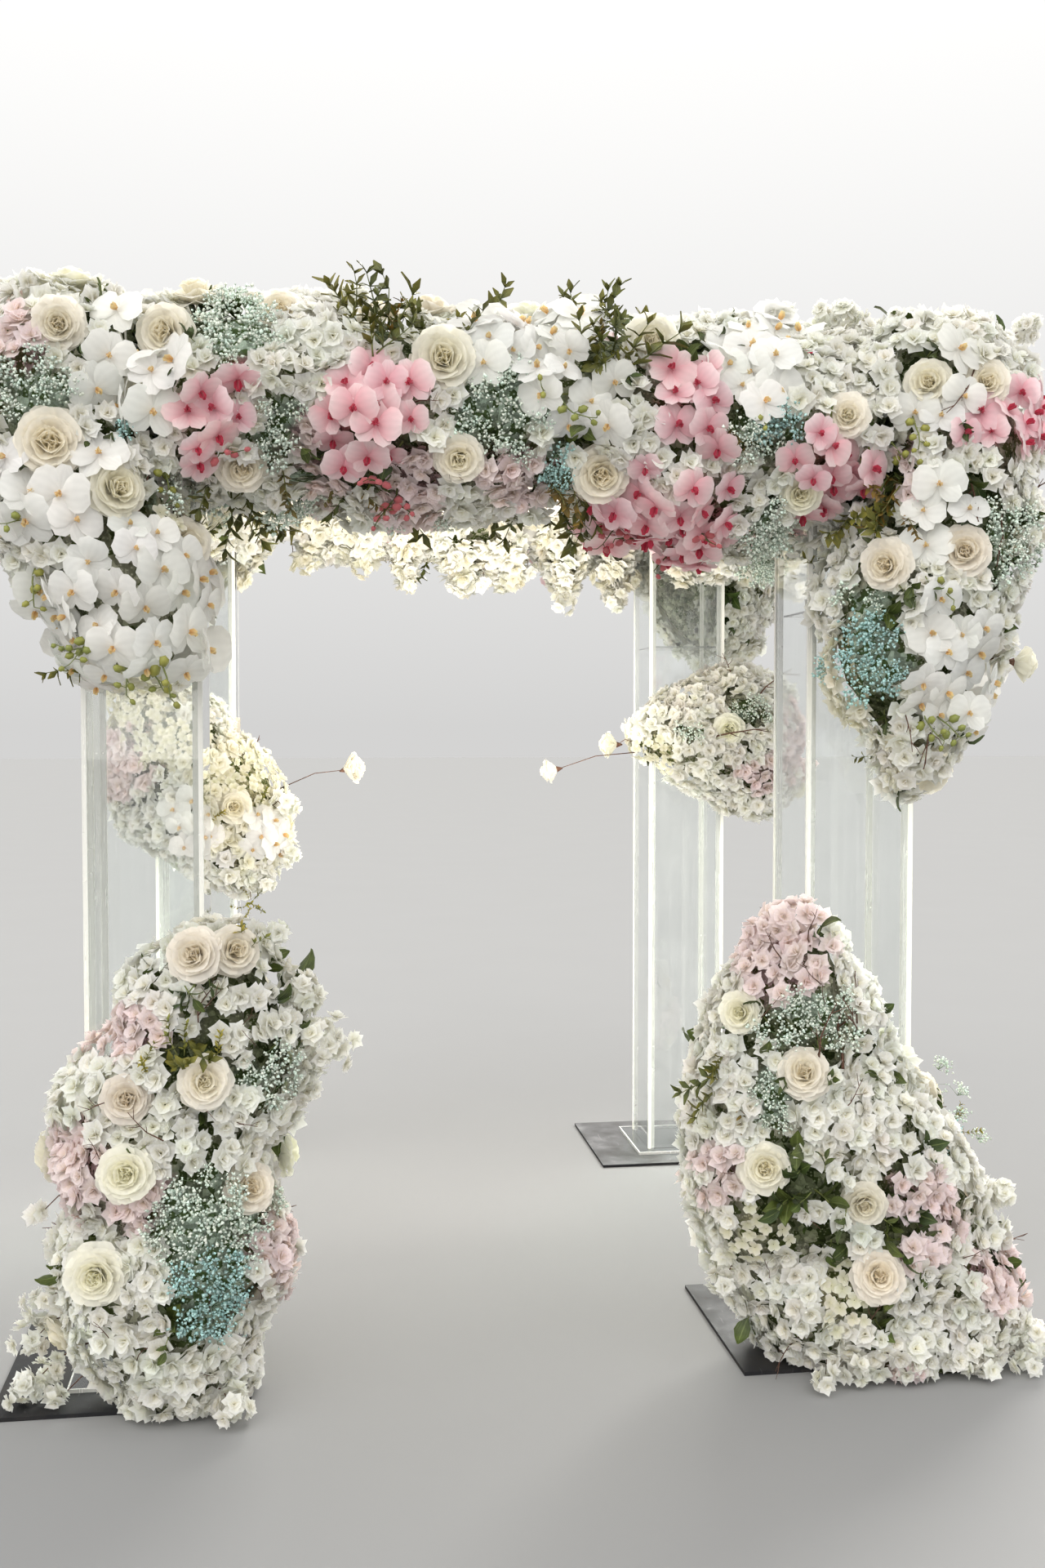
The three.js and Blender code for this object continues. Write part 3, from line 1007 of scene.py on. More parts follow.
class Nursery:
    """Models the sprigs, leaves, buds and twigs, each of length or radius about 1 and along +Z."""

    def __init__(self, seed: int = 11) -> None:
        """Presses the leaves and prepares the disorder that all share."""
        self.luck = np.random.default_rng(seed)
        self.grain = bead(3, 2, (1.0, 1.0, 1.0))
        self.leaf = LEAF_CUT.press()
        self.small_leaf = SMALL_LEAF_CUT.press()

    def several(self, amount: int, grow: Callable[..., list[Stock]], *given: object) -> list[Stock]:
        """Grows a kind several times over."""
        return [Stock.gathered(grow(*given)) for _ in range(amount)]

    def way(self, start: Vector, aim: Vector, length: float, steps: int, stray: float) -> list[Vector]:
        """A path that starts one way and strays as it goes.

        Args:
            start: Its first point.
            aim: The way that it sets out.
            length: Its length.
            steps: How many steps it takes.
            stray: How far each step may turn.

        Returns:
            Its points.
        """
        path = [start]
        heading = aim.normalized()
        for _ in range(steps):
            heading = (heading + Vector(self.luck.normal(0, stray, 3))).normalized()
            path.append(path[-1] + heading * (length / steps))
        return path

    def gypsophila(self, beads: int) -> list[Stock]:
        """A round head of tiny beads on hair-thin stems.

        Args:
            beads: How many beads it has.

        Returns:
            Its parts.
        """
        parts = []
        for index in range(beads):
            aim = Vector(self.luck.normal(0, 1, 3))
            aim.z = abs(aim.z) * 0.8 + 0.25
            aim.normalize()
            spot = aim * self.luck.uniform(0.4, 1.1)
            size = self.luck.uniform(0.075, 0.15)
            bright = float(self.luck.uniform(0.7, 1.12))
            tint = (bright * float(self.luck.uniform(0.96, 1.12)), bright, bright)
            parts.append(self.grain.placed(facing(spot, aim), size, tint))
            if index % 6 == 0:
                parts.append(stalk([Vector((0, 0, -0.2)), spot], 0.020, 0.010, (0.20, 0.26, 0.14)))
        return parts

    def leaf_spray(self) -> list[Stock]:
        """A short stem with rings of small leaves.

        Returns:
            Its parts.
        """
        path = self.way(Vector((0, 0, -0.1)), Vector((0, 0, 1)), 1.1, 5, 0.16)
        parts = [stalk(path, 0.022, 0.008, shade(78, 70, 40))]
        for spot in path[1:]:
            for side in (0, 1, 2):
                around = self.luck.uniform(0, 1.2) + side * math.pi * 2 / 3
                turn = turned(spot, around, math.radians(self.luck.uniform(15, 60)))
                parts.append(self.small_leaf.placed(turn, self.luck.uniform(0.2, 0.34)))
        return parts

    def leaves(self) -> list[Stock]:
        """Rose leaves, three on a stalk.

        Returns:
            Their parts.
        """
        path = self.way(Vector((0, 0, -0.1)), Vector((0, 0, 1)), 0.6, 2, 0.2)
        parts = [stalk(path, 0.03, 0.015, STEM_GREEN)]
        for spot, around_deg, lean in ((path[-1], 0, 70), (path[1], 100, 35), (path[1], 260, 40)):
            around = math.radians(around_deg + self.luck.normal(0, 15))
            turn = turned(spot, around, math.radians(lean + self.luck.normal(0, 10)))
            parts.append(self.leaf.placed(turn, self.luck.uniform(0.5, 0.68)))
        return parts

    def twig(self) -> list[Stock]:
        """A forked bare twig.

        Returns:
            Its parts.
        """
        path = self.way(Vector((0, 0, -0.25)), Vector((0, 0, 1)), 1.25, 5, 0.22)
        parts = [stalk(path, 0.024, 0.010, UNDYED)]
        for spot in path[2:5]:
            aim = Vector((*self.luck.normal(0, 0.8, 2), 0.9))
            fork = self.way(spot, aim, self.luck.uniform(0.2, 0.45), 2, 0.2)
            parts.append(stalk(fork, 0.014, 0.007, UNDYED))
        return parts

    def bud_spray(self, bud: Stock) -> list[Stock]:
        """An arching orchid stem with closed buds.

        Args:
            bud: One closed bud.

        Returns:
            Its parts.
        """
        path = self.way(Vector((0, 0, -0.2)), Vector((0.1, 0, 1)), 1.2, 6, 0.18)
        parts = [stalk(path, 0.026, 0.014, STEM_GREEN, 4)]
        for index, spot in enumerate(path[2:]):
            side = -1 if index % 2 else 1
            aim = Vector((side * 0.9, self.luck.normal(0, 0.5), 0.3)).normalized()
            end = spot + aim * 0.16
            size = 0.125 - 0.013 * index
            parts.append(stalk([spot, end], 0.014, 0.010, STEM_GREEN))
            turn = facing(end + aim * size * 0.7, aim) @ Matrix.Diagonal((1, 1, 1.2, 1))
            parts.append(bud.placed(turn, size))
        return parts


class Bloom(Enum):
    """What grows at a spot of a flower mass."""

    WHITE = "white_blossoms"
    BLUSH = "blush_blossoms"
    CREAM = "cream_blossoms"
    HYDRANGEA = "hydrangea_florets"
    ROSE = "ivory_roses"
    CUPPED = "half_open_roses"
    WHITE_ORCHID = "white_orchids"
    PINK_ORCHID = "pink_orchids"
    MINT = "mint_sprigs"
    AQUA = "aqua_sprigs"
    LEAF = "leaves"
    SPRAY = "leaf_sprays"
    FERN = "brown_sprays"
    GOLD = "seed_sprays"
    BUD = "bud_sprays"
    PINK_BUD = "pink_bud_sprays"
    TWIG = "twigs"


BLOSSOMS = (Bloom.WHITE, Bloom.BLUSH, Bloom.CREAM)
GREENS = (Bloom.LEAF, Bloom.SPRAY, Bloom.FERN, Bloom.GOLD, Bloom.BUD)
# PALE_BED is a greyed, darker copy of the pale flowers' colour: painted shade between them
PALE_BED = (0.38, 0.38, 0.30)
GREEN_BED = (0.12, 0.14, 0.08)
MINT_BED = (0.32, 0.39, 0.32)


@dataclass
class Recipe:
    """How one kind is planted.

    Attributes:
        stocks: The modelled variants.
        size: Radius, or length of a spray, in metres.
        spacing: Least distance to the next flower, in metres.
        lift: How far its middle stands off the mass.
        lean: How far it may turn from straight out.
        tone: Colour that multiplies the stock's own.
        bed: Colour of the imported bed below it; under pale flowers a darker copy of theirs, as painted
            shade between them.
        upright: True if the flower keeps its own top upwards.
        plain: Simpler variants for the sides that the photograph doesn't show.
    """

    stocks: list[Stock]
    size: float
    spacing: float
    lift: float
    lean: float
    tone: Colour = UNDYED
    bed: Colour = GREEN_BED
    upright: bool = False
    plain: list[Stock] = field(default_factory=list)


def planting_book(nursery: Nursery) -> dict[Bloom, Recipe]:
    """Models every kind once and says how each is planted.

    Args:
        nursery: Models the sprigs, leaves and twigs.

    Returns:
        A recipe for each kind.
    """
    blossoms = BLOSSOM.make(5, seed=3)
    simple = PLAIN_BLOSSOM.make(4, seed=4)
    sprigs = nursery.several(4, nursery.gypsophila, 56)
    few_beads = nursery.several(3, nursery.gypsophila, 26)
    white_orchids = Orchid(WHITE, WHITE, YELLOW, AMBER, 1.1).make(4, seed=5)
    pink_orchids = Orchid(ROSE_PINK, PALE_PINK, THROAT, THROAT, 1.45).make(4, seed=6)
    roses, plain_roses = ROSE.make(4, seed=9), PLAIN_ROSE.make(3, seed=10)
    florets, cupped = FLORET.make(3, seed=8), CUPPED_ROSE.make(3, seed=12)
    green_bud, pink_bud = bead(5, 3, BUD_GREEN), bead(5, 3, shade(206, 118, 122))
    blush, cream, hydrangea = (1.0, 0.885, 0.925), (1.0, 0.98, 0.91), (1.0, 0.985, 0.92)
    mint, aqua = shade(222, 238, 224), shade(178, 218, 214)
    # Beds under pale flowers, here and below, are darker copies of the flowers' colours: painted shade
    # between the flowers
    white_bed, pink_bed = (0.34, 0.34, 0.26), (0.36, 0.17, 0.18)
    return {
        Bloom.WHITE: Recipe(blossoms, 0.031, 0.033, 0.016, 0.6, UNDYED, PALE_BED, plain=simple),
        Bloom.BLUSH: Recipe(blossoms, 0.031, 0.033, 0.016, 0.6, blush, (0.42, 0.30, 0.31), plain=simple),
        Bloom.CREAM: Recipe(blossoms, 0.032, 0.034, 0.016, 0.6, cream, (0.42, 0.38, 0.27), plain=simple),
        Bloom.HYDRANGEA: Recipe(florets, 0.019, 0.023, 0.022, 0.35, hydrangea, (0.46, 0.44, 0.30)),
        Bloom.ROSE: Recipe(roses, 0.062, 0.085, 0.035, 0.2, UNDYED, PALE_BED, plain=plain_roses),
        Bloom.CUPPED: Recipe(cupped, 0.070, 0.085, 0.0, 0.1, UNDYED, PALE_BED),
        Bloom.WHITE_ORCHID: Recipe(white_orchids, 0.060, 0.060, 0.034, 0.45, UNDYED, white_bed, True),
        Bloom.PINK_ORCHID: Recipe(pink_orchids, 0.053, 0.054, 0.034, 0.45, UNDYED, pink_bed, True),
        Bloom.MINT: Recipe(sprigs, 0.040, 0.041, 0.018, 0.4, mint, MINT_BED, plain=few_beads),
        Bloom.AQUA: Recipe(sprigs, 0.040, 0.041, 0.018, 0.4, aqua, MINT_BED, plain=few_beads),
        Bloom.LEAF: Recipe(nursery.several(4, nursery.leaves), 0.10, 0.052, -0.012, 0.8),
        Bloom.SPRAY: Recipe(nursery.several(4, nursery.leaf_spray), 0.13, 0.06, 0.0, 0.5),
        Bloom.FERN: Recipe(nursery.several(3, nursery.leaf_spray), 0.12, 0.055, 0.0, 0.5, (1.5, 0.95, 1.1)),
        Bloom.GOLD: Recipe(nursery.several(3, nursery.leaf_spray), 0.06, 0.03, 0.0, 0.5, (2.1, 1.85, 1.2)),
        Bloom.BUD: Recipe(nursery.several(3, nursery.bud_spray, green_bud), 0.13, 0.10, 0.01, 0.5),
        Bloom.PINK_BUD: Recipe(nursery.several(2, nursery.bud_spray, pink_bud), 0.10, 0.08, 0.01, 0.4),
        Bloom.TWIG: Recipe(nursery.several(4, nursery.twig), 0.13, 0.12, 0.01, 0.6),
    }


@dataclass(frozen=True)
class Patch:
    """An oval of the photograph where one kind grows, in its pixels."""

    kind: Bloom
    left: float
    right: float
    top: float
    bottom: float

    def holds(self, px: float, py: float) -> bool:
        """True if a pixel lies in the oval."""
        x = (2 * px - self.left - self.right) / (self.right - self.left)
        y = (2 * py - self.top - self.bottom) / (self.bottom - self.top)
        return x * x + y * y < 1.0


# Later patches lie over earlier ones
PATCHES = tuple(Patch(*row) for row in (
    (Bloom.BLUSH, -30, 60, 380, 435), (Bloom.MINT, -20, 95, 435, 525),
    (Bloom.WHITE_ORCHID, 100, 225, 395, 505), (Bloom.WHITE_ORCHID, -10, 130, 520, 660),
    (Bloom.WHITE_ORCHID, 45, 255, 635, 850), (Bloom.AQUA, 125, 175, 500, 545),
    (Bloom.PINK_ORCHID, 215, 300, 450, 570), (Bloom.MINT, 245, 345, 365, 445),
    (Bloom.MINT, 305, 385, 485, 565), (Bloom.MINT, 325, 385, 590, 650), (Bloom.MINT, 195, 260, 590, 650),
    (Bloom.MINT, 472, 545, 612, 690), (Bloom.SPRAY, 262, 300, 570, 612), (Bloom.BLUSH, 365, 445, 500, 605),
    (Bloom.PINK_ORCHID, 395, 525, 425, 575), (Bloom.BLUSH, 455, 540, 545, 640),
    (Bloom.SPRAY, 425, 505, 365, 425), (Bloom.SPRAY, 535, 585, 375, 425),
    (Bloom.WHITE_ORCHID, 575, 765, 375, 505), (Bloom.MINT, 555, 665, 445, 560),
    (Bloom.AQUA, 640, 700, 545, 615), (Bloom.BLUSH, 590, 670, 545, 605),
    (Bloom.WHITE_ORCHID, 690, 760, 465, 560), (Bloom.SPRAY, 715, 775, 365, 460),
    (Bloom.LEAF, 690, 735, 520, 560), (Bloom.SPRAY, 650, 720, 592, 625),
    (Bloom.PINK_ORCHID, 800, 905, 458, 565), (Bloom.PINK_ORCHID, 738, 902, 560, 674),
    (Bloom.WHITE, 788, 842, 553, 593), (Bloom.WHITE, 765, 818, 500, 552),
    (Bloom.WHITE_ORCHID, 870, 985, 405, 505), (Bloom.MINT, 880, 945, 505, 560),
    (Bloom.MINT, 905, 965, 620, 700), (Bloom.AQUA, 925, 1005, 490, 545),
    (Bloom.PINK_ORCHID, 955, 1065, 520, 640), (Bloom.BLUSH, 1085, 1155, 555, 610),
    (Bloom.SPRAY, 1030, 1115, 592, 630), (Bloom.WHITE_ORCHID, 1085, 1205, 430, 545),
    (Bloom.PINK_ORCHID, 1165, 1300, 480, 560), (Bloom.WHITE_ORCHID, 1125, 1195, 590, 690),
    (Bloom.MINT, 1185, 1255, 615, 715), (Bloom.LEAF, 1082, 1118, 712, 762),
    (Bloom.WHITE_ORCHID, 1115, 1215, 715, 890), (Bloom.CREAM, 980, 1110, 770, 900),
    (Bloom.MINT, 1030, 1085, 712, 760), (Bloom.AQUA, 1018, 1108, 742, 850),
    (Bloom.HYDRANGEA, 195, 260, 600, 670), (Bloom.CREAM, 220, 390, 900, 1060),
    (Bloom.HYDRANGEA, 120, 215, 805, 900), (Bloom.BLUSH, 118, 192, 895, 970),
    (Bloom.HYDRANGEA, 170, 248, 885, 945), (Bloom.HYDRANGEA, 250, 352, 915, 985),
    (Bloom.WHITE_ORCHID, 214, 252, 970, 1045), (Bloom.WHITE_ORCHID, 296, 345, 985, 1045),
    (Bloom.HYDRANGEA, 750, 830, 895, 970), (Bloom.BLUSH, 905, 965, 925, 970),
    (Bloom.BLUSH, 955, 1010, 850, 955), (Bloom.MINT, 898, 938, 855, 885), (Bloom.MINT, 832, 862, 882, 904),
    (Bloom.BLUSH, 95, 200, 1235, 1305), (Bloom.BLUSH, 55, 125, 1365, 1485),
    (Bloom.BLUSH, 130, 205, 1435, 1515), (Bloom.BLUSH, 305, 365, 1485, 1565),
    (Bloom.MINT, 300, 355, 1280, 1350), (Bloom.MINT, 190, 330, 1430, 1560),
    (Bloom.AQUA, 215, 300, 1520, 1640), (Bloom.LEAF, 205, 250, 1192, 1216),
    (Bloom.SPRAY, 192, 236, 1276, 1306), (Bloom.BLUSH, 895, 1020, 1105, 1220),
    (Bloom.MINT, 950, 1045, 1200, 1290), (Bloom.MINT, 925, 975, 1335, 1400),
    (Bloom.LEAF, 925, 1010, 1400, 1480), (Bloom.HYDRANGEA, 895, 965, 1475, 1545),
    (Bloom.HYDRANGEA, 1005, 1065, 1545, 1625), (Bloom.BLUSH, 850, 925, 1395, 1470),
    (Bloom.BLUSH, 1075, 1175, 1425, 1555), (Bloom.BLUSH, 1185, 1280, 1525, 1605),
    (Bloom.LEAF, 1070, 1115, 1485, 1600),
))

# Roses that the photograph shows: pixel across, pixel down, radius in pixels
ROSES_SEEN = (
    (72, 398, 28), (205, 410, 31), (175, 488, 26), (60, 540, 36), (140, 600, 32), (224, 666, 29),
    (345, 385, 26), (295, 570, 28), (543, 440, 35), (562, 560, 27), (797, 420, 30), (735, 580, 32),
    (980, 603, 24), (1038, 510, 24), (1138, 470, 26), (1207, 470, 24), (1087, 692, 28), (1182, 675, 29),
    (240, 1170, 30), (285, 1165, 28), (250, 1325, 30), (155, 1345, 27), (155, 1437, 30), (303, 1455, 28),
    (120, 1560, 32), (908, 1240, 24), (985, 1315, 28), (1100, 1312, 24), (937, 1430, 28), (1057, 1472, 25),
    (1075, 1562, 28), (287, 988, 20), (892, 893, 18),
)

# Sprays, leaves, buds and twigs that the photograph shows: root pixel, then tip pixel
ACCENTS = (
    (Bloom.LEAF, (
        (112, 415, 76, 428), (240, 418, 236, 398), (212, 480, 208, 460), (118, 552, 100, 535),
        (362, 548, 342, 572), (760, 470, 778, 482), (888, 440, 902, 436), (1165, 520, 1180, 532),
        (1185, 515, 1200, 536), (1100, 715, 1086, 745), (1120, 715, 1108, 742), (1135, 708, 1140, 735),
        (235, 1207, 198, 1206), (228, 1210, 226, 1242), (255, 1195, 262, 1222), (175, 1404, 146, 1412),
        (965, 1312, 940, 1322), (1010, 1318, 1032, 1310), (1078, 1322, 1066, 1306), (965, 1468, 930, 1488),
        (992, 1462, 968, 1480), (1035, 1482, 1006, 1506), (1080, 1490, 1098, 1512),
        (1106, 1530, 1128, 1556), (1096, 1580, 1082, 1606), (1128, 1548, 1142, 1570),
        (205, 1640, 190, 1662), (1010, 1432, 985, 1420),
    )),
    (Bloom.SPRAY, (
        (455, 430, 438, 372), (462, 430, 484, 372), (470, 420, 462, 368), (560, 425, 536, 380),
        (566, 425, 580, 378), (748, 455, 732, 388), (744, 460, 752, 366), (752, 455, 768, 388),
        (742, 450, 740, 400), (838, 415, 852, 400), (258, 585, 254, 648), (300, 610, 306, 640),
        (885, 1308, 822, 1314), (882, 1330, 838, 1350), (888, 1290, 850, 1300), (860, 1255, 842, 1240),
        (1085, 600, 1092, 655), (430, 595, 418, 638), (280, 560, 266, 540),
    )),
    (Bloom.FERN, (
        (1078, 580, 1070, 640), (1100, 600, 1110, 652), (700, 590, 690, 642), (712, 590, 722, 650),
        (672, 588, 660, 640), (430, 588, 436, 636), (578, 560, 584, 600), (415, 590, 408, 622),
        (1060, 590, 1052, 630), (890, 520, 900, 545), (700, 545, 716, 520), (925, 530, 915, 552),
        (345, 575, 350, 625), (1105, 625, 1096, 660), (1150, 920, 1140, 968), (735, 430, 724, 392),
        (476, 410, 470, 372), (905, 1350, 908, 1390),
    )),
    (Bloom.GOLD, (
        (215, 1290, 205, 1255), (225, 1290, 228, 1258), (265, 1292, 270, 1272), (178, 1312, 168, 1292),
        (405, 395, 412, 348), (470, 395, 468, 350), (490, 400, 492, 366), (302, 1160, 292, 1128),
        (312, 1165, 318, 1130), (300, 1170, 304, 1140), (178, 1300, 186, 1280), (318, 985, 330, 966),
        (258, 1004, 268, 994), (204, 1010, 214, 990), (262, 1002, 276, 998),
    )),
    (Bloom.BUD, (
        (690, 478, 660, 478), (690, 490, 712, 530), (918, 490, 938, 512), (1018, 505, 1020, 522),
        (1085, 540, 1062, 548), (1095, 545, 1130, 556), (1118, 510, 1132, 535), (1160, 700, 1152, 722),
        (196, 560, 197, 585), (40, 620, 14, 634), (45, 695, 50, 726), (120, 790, 100, 800),
        (175, 810, 178, 850), (190, 790, 206, 846), (150, 800, 134, 818), (1130, 870, 1142, 912),
        (1150, 880, 1166, 905), (118, 775, 130, 812),
    )),
    (Bloom.PINK_BUD, (
        (478, 590, 476, 612), (490, 605, 492, 634), (474, 612, 472, 642), (766, 640, 768, 668),
        (795, 655, 794, 680), (828, 660, 830, 684), (850, 650, 850, 676), (250, 560, 262, 572),
    )),
    (Bloom.TWIG, (
        (180, 590, 152, 680), (205, 620, 228, 628), (545, 575, 552, 600), (515, 488, 546, 475),
        (1198, 590, 1172, 642), (1224, 640, 1222, 690), (1190, 465, 1166, 510), (1050, 430, 1030, 418),
        (359, 366, 394, 344), (990, 1150, 984, 1112), (955, 1170, 938, 1138), (905, 1186, 925, 1180),
        (1002, 1200, 988, 1172), (1046, 1240, 1042, 1192), (1042, 1285, 1074, 1194),
        (1046, 1270, 1060, 1215), (1012, 1225, 1018, 1200), (1004, 1290, 1022, 1252),
        (1004, 1285, 982, 1232), (936, 1240, 942, 1212), (1034, 1358, 1052, 1322), (1186, 1538, 1212, 1544),
        (243, 1240, 240, 1196), (248, 1240, 280, 1214), (325, 1262, 342, 1256), (310, 1276, 300, 1258),
        (376, 1296, 392, 1282), (133, 1350, 114, 1320), (190, 1392, 166, 1358), (242, 1358, 270, 1362),
        (130, 1426, 100, 1402), (290, 1376, 324, 1383), (340, 1390, 344, 1362), (170, 1660, 176, 1632),
        (256, 1600, 262, 1570), (320, 1585, 318, 1566), (242, 1678, 260, 1694), (132, 1636, 128, 1606),
        (300, 1250, 318, 1238), (360, 1284, 352, 1270), (1150, 880, 1160, 940), (1108, 880, 1106, 925),
        (895, 830, 905, 800), (930, 850, 965, 815), (880, 900, 930, 880), (1000, 1500, 992, 1475),
        (1060, 1620, 1072, 1590), (1210, 1475, 1222, 1450), (900, 1440, 880, 1420), (975, 1655, 945, 1688),
        (940, 1560, 925, 1545), (60, 1600, 50, 1572),
    )),
)

# The back garland hangs in bunches: pixel across, and how far its hem is drawn up there, in metres
BACK_HEM = (
    (255, 0.0), (275, 0.03), (300, 0.04), (335, 0.12), (350, 0.18), (364, 0.18), (371, 0.07), (388, 0.05),
    (397, 0.12), (405, 0.12), (414, 0.06), (449, 0.05), (474, 0.10), (484, 0.10), (491, -0.02), (503, 0.03),
    (512, 0.10), (532, 0.10), (545, 0.04), (566, -0.05), (588, 0.02), (612, -0.02), (632, -0.03),
    (638, 0.04), (641, 0.17), (652, 0.17), (657, 0.08), (668, 0.06), (684, 0.0), (694, -0.03), (708, 0.02),
    (719, 0.08), (723, 0.16), (735, 0.16), (741, 0.0), (753, -0.04), (766, 0.03), (780, 0.09), (800, 0.05),
    (850, 0.0),
)


@dataclass(frozen=True)
class Puff:
    """A loose ball of blossoms on a twig, outside the main mass.

    Attributes:
        kind: What it is made of.
        px, py: Its middle in the photograph.
        radius: In metres.
        depth: The y of its middle, in metres.
        count: How many blossoms. A single one faces away from the mass.
    """

    kind: Bloom
    px: float
    py: float
    radius: float
    depth: float
    count: int


PUFFS = tuple(Puff(*row) for row in (
    (Bloom.WHITE, 1028, 384, 0.08, -1.15, 26), (Bloom.WHITE, 1060, 415, 0.05, -1.18, 10),
    (Bloom.WHITE, 1225, 430, 0.06, -1.12, 14), (Bloom.WHITE, 1262, 398, 0.055, -1.12, 11),
    (Bloom.WHITE, 1188, 384, 0.05, -1.12, 10), (Bloom.WHITE, 955, 366, 0.05, -1.12, 10),
    (Bloom.WHITE, 430, 350, 0.05, -1.12, 10), (Bloom.WHITE, 395, 375, 0.05, -1.15, 10),
    (Bloom.CREAM, 1090, 905, 0.055, -1.26, 12), (Bloom.CREAM, 1098, 950, 0.04, -1.26, 8),
    (Bloom.WHITE, 395, 1278, 0.085, -1.22, 24), (Bloom.WHITE, 368, 1218, 0.075, -1.20, 18),
    (Bloom.WHITE, 372, 1328, 0.05, -1.22, 10), (Bloom.WHITE, 340, 1140, 0.03, -1.20, 4),
    (Bloom.MINT, 1138, 1318, 0.05, -1.10, 3), (Bloom.MINT, 1165, 1350, 0.05, -1.10, 3),
    (Bloom.AQUA, 1150, 1395, 0.05, -1.12, 3), (Bloom.MINT, 1195, 1400, 0.04, -1.12, 2),
    (Bloom.GOLD, 1165, 1378, 0.03, -1.10, 8), (Bloom.WHITE, 1010, 1690, 0.035, -1.41, 5),
    (Bloom.WHITE, 1042, 1676, 0.06, -1.38, 12), (Bloom.WHITE, 984, 1645, 0.05, -1.22, 9),
    (Bloom.WHITE, 932, 1620, 0.05, -1.10, 9), (Bloom.WHITE, 1258, 1670, 0.045, -1.38, 7),
    (Bloom.CUPPED, 1248, 812, 0.046, -1.23, 1), (Bloom.CUPPED, 428, 941, 0.057, 0.74, 1),
    (Bloom.CUPPED, 677, 943, 0.047, 0.80, 1), (Bloom.CUPPED, 750, 912, 0.050, 0.80, 1),
    (Bloom.WHITE, 52, 1598, 0.06, -1.20, 12), (Bloom.WHITE, 38, 1640, 0.045, -1.20, 8),
    (Bloom.WHITE, 60, 1680, 0.05, -1.20, 9), (Bloom.WHITE, 30, 1702, 0.055, -1.21, 10),
    (Bloom.WHITE, 66, 1716, 0.03, -1.24, 4), (Bloom.WHITE, 168, 1710, 0.06, -1.30, 12),
    (Bloom.WHITE, 297, 1676, 0.045, -1.17, 8), (Bloom.WHITE, 45, 1485, 0.02, -1.30, 2),
    (Bloom.WHITE, 284, 1720, 0.06, -1.38, 13), (Bloom.BLUSH, 980, 1135, 0.06, -1.20, 12),
    (Bloom.BLUSH, 930, 1145, 0.05, -1.20, 9), (Bloom.WHITE, 860, 1440, 0.04, -1.25, 6),
    (Bloom.WHITE, 885, 1570, 0.04, -1.28, 6), (Bloom.WHITE, 1225, 1460, 0.04, -1.20, 7),
    (Bloom.WHITE, 1265, 1640, 0.06, -1.30, 12), (Bloom.WHITE, 1204, 1674, 0.05, -1.39, 9),
    (Bloom.BLUSH, 1112, 1678, 0.05, -1.39, 8), (Bloom.CREAM, 292, 708, 0.06, 0.94, 12),
    (Bloom.CREAM, 374, 690, 0.045, 0.94, 7), (Bloom.WHITE, 398, 680, 0.04, 0.94, 5),
    (Bloom.CREAM, 445, 694, 0.045, 0.94, 7), (Bloom.WHITE, 500, 700, 0.04, 0.94, 6),
    (Bloom.CREAM, 500, 716, 0.03, 0.94, 4), (Bloom.WHITE, 564, 716, 0.05, 0.94, 9),
    (Bloom.WHITE, 592, 712, 0.035, 0.94, 5), (Bloom.CREAM, 628, 710, 0.045, 0.94, 7),
    (Bloom.WHITE, 648, 700, 0.035, 0.94, 5), (Bloom.CREAM, 692, 712, 0.05, 0.94, 8),
    (Bloom.WHITE, 690, 738, 0.05, 0.94, 10), (Bloom.CREAM, 738, 706, 0.045, 0.94, 7),
    (Bloom.WHITE, 754, 734, 0.055, 0.94, 11), (Bloom.CREAM, 774, 712, 0.035, 0.94, 5),
    (Bloom.WHITE, 903, 702, 0.035, 0.94, 5), (Bloom.WHITE, 320, 1070, 0.075, 0.66, 16),
    (Bloom.WHITE, 356, 1046, 0.05, 0.64, 8), (Bloom.WHITE, 350, 985, 0.06, 0.62, 10),
    (Bloom.GOLD, 308, 1108, 0.03, 0.66, 8), (Bloom.HYDRANGEA, 166, 856, 0.115, 0.72, 230),
    (Bloom.WHITE, 815, 868, 0.06, 0.66, 10), (Bloom.BLUSH, 985, 940, 0.05, 0.70, 8),
))

TOP_MIX = (
    (Bloom.WHITE, 0.40), (Bloom.WHITE_ORCHID, 0.18), (Bloom.PINK_ORCHID, 0.14), (Bloom.MINT, 0.07),
    (Bloom.AQUA, 0.03), (Bloom.BLUSH, 0.11), (Bloom.CREAM, 0.04), (Bloom.SPRAY, 0.03),
)
BASE_MIX = (
    (Bloom.WHITE, 0.58), (Bloom.BLUSH, 0.13), (Bloom.MINT, 0.12), (Bloom.AQUA, 0.04),
    (Bloom.HYDRANGEA, 0.06), (Bloom.LEAF, 0.04), (Bloom.CREAM, 0.03),
)
MIDDLE_MIX = ((Bloom.CREAM, 0.42), (Bloom.WHITE, 0.34), (Bloom.HYDRANGEA, 0.14), (Bloom.BLUSH, 0.10))


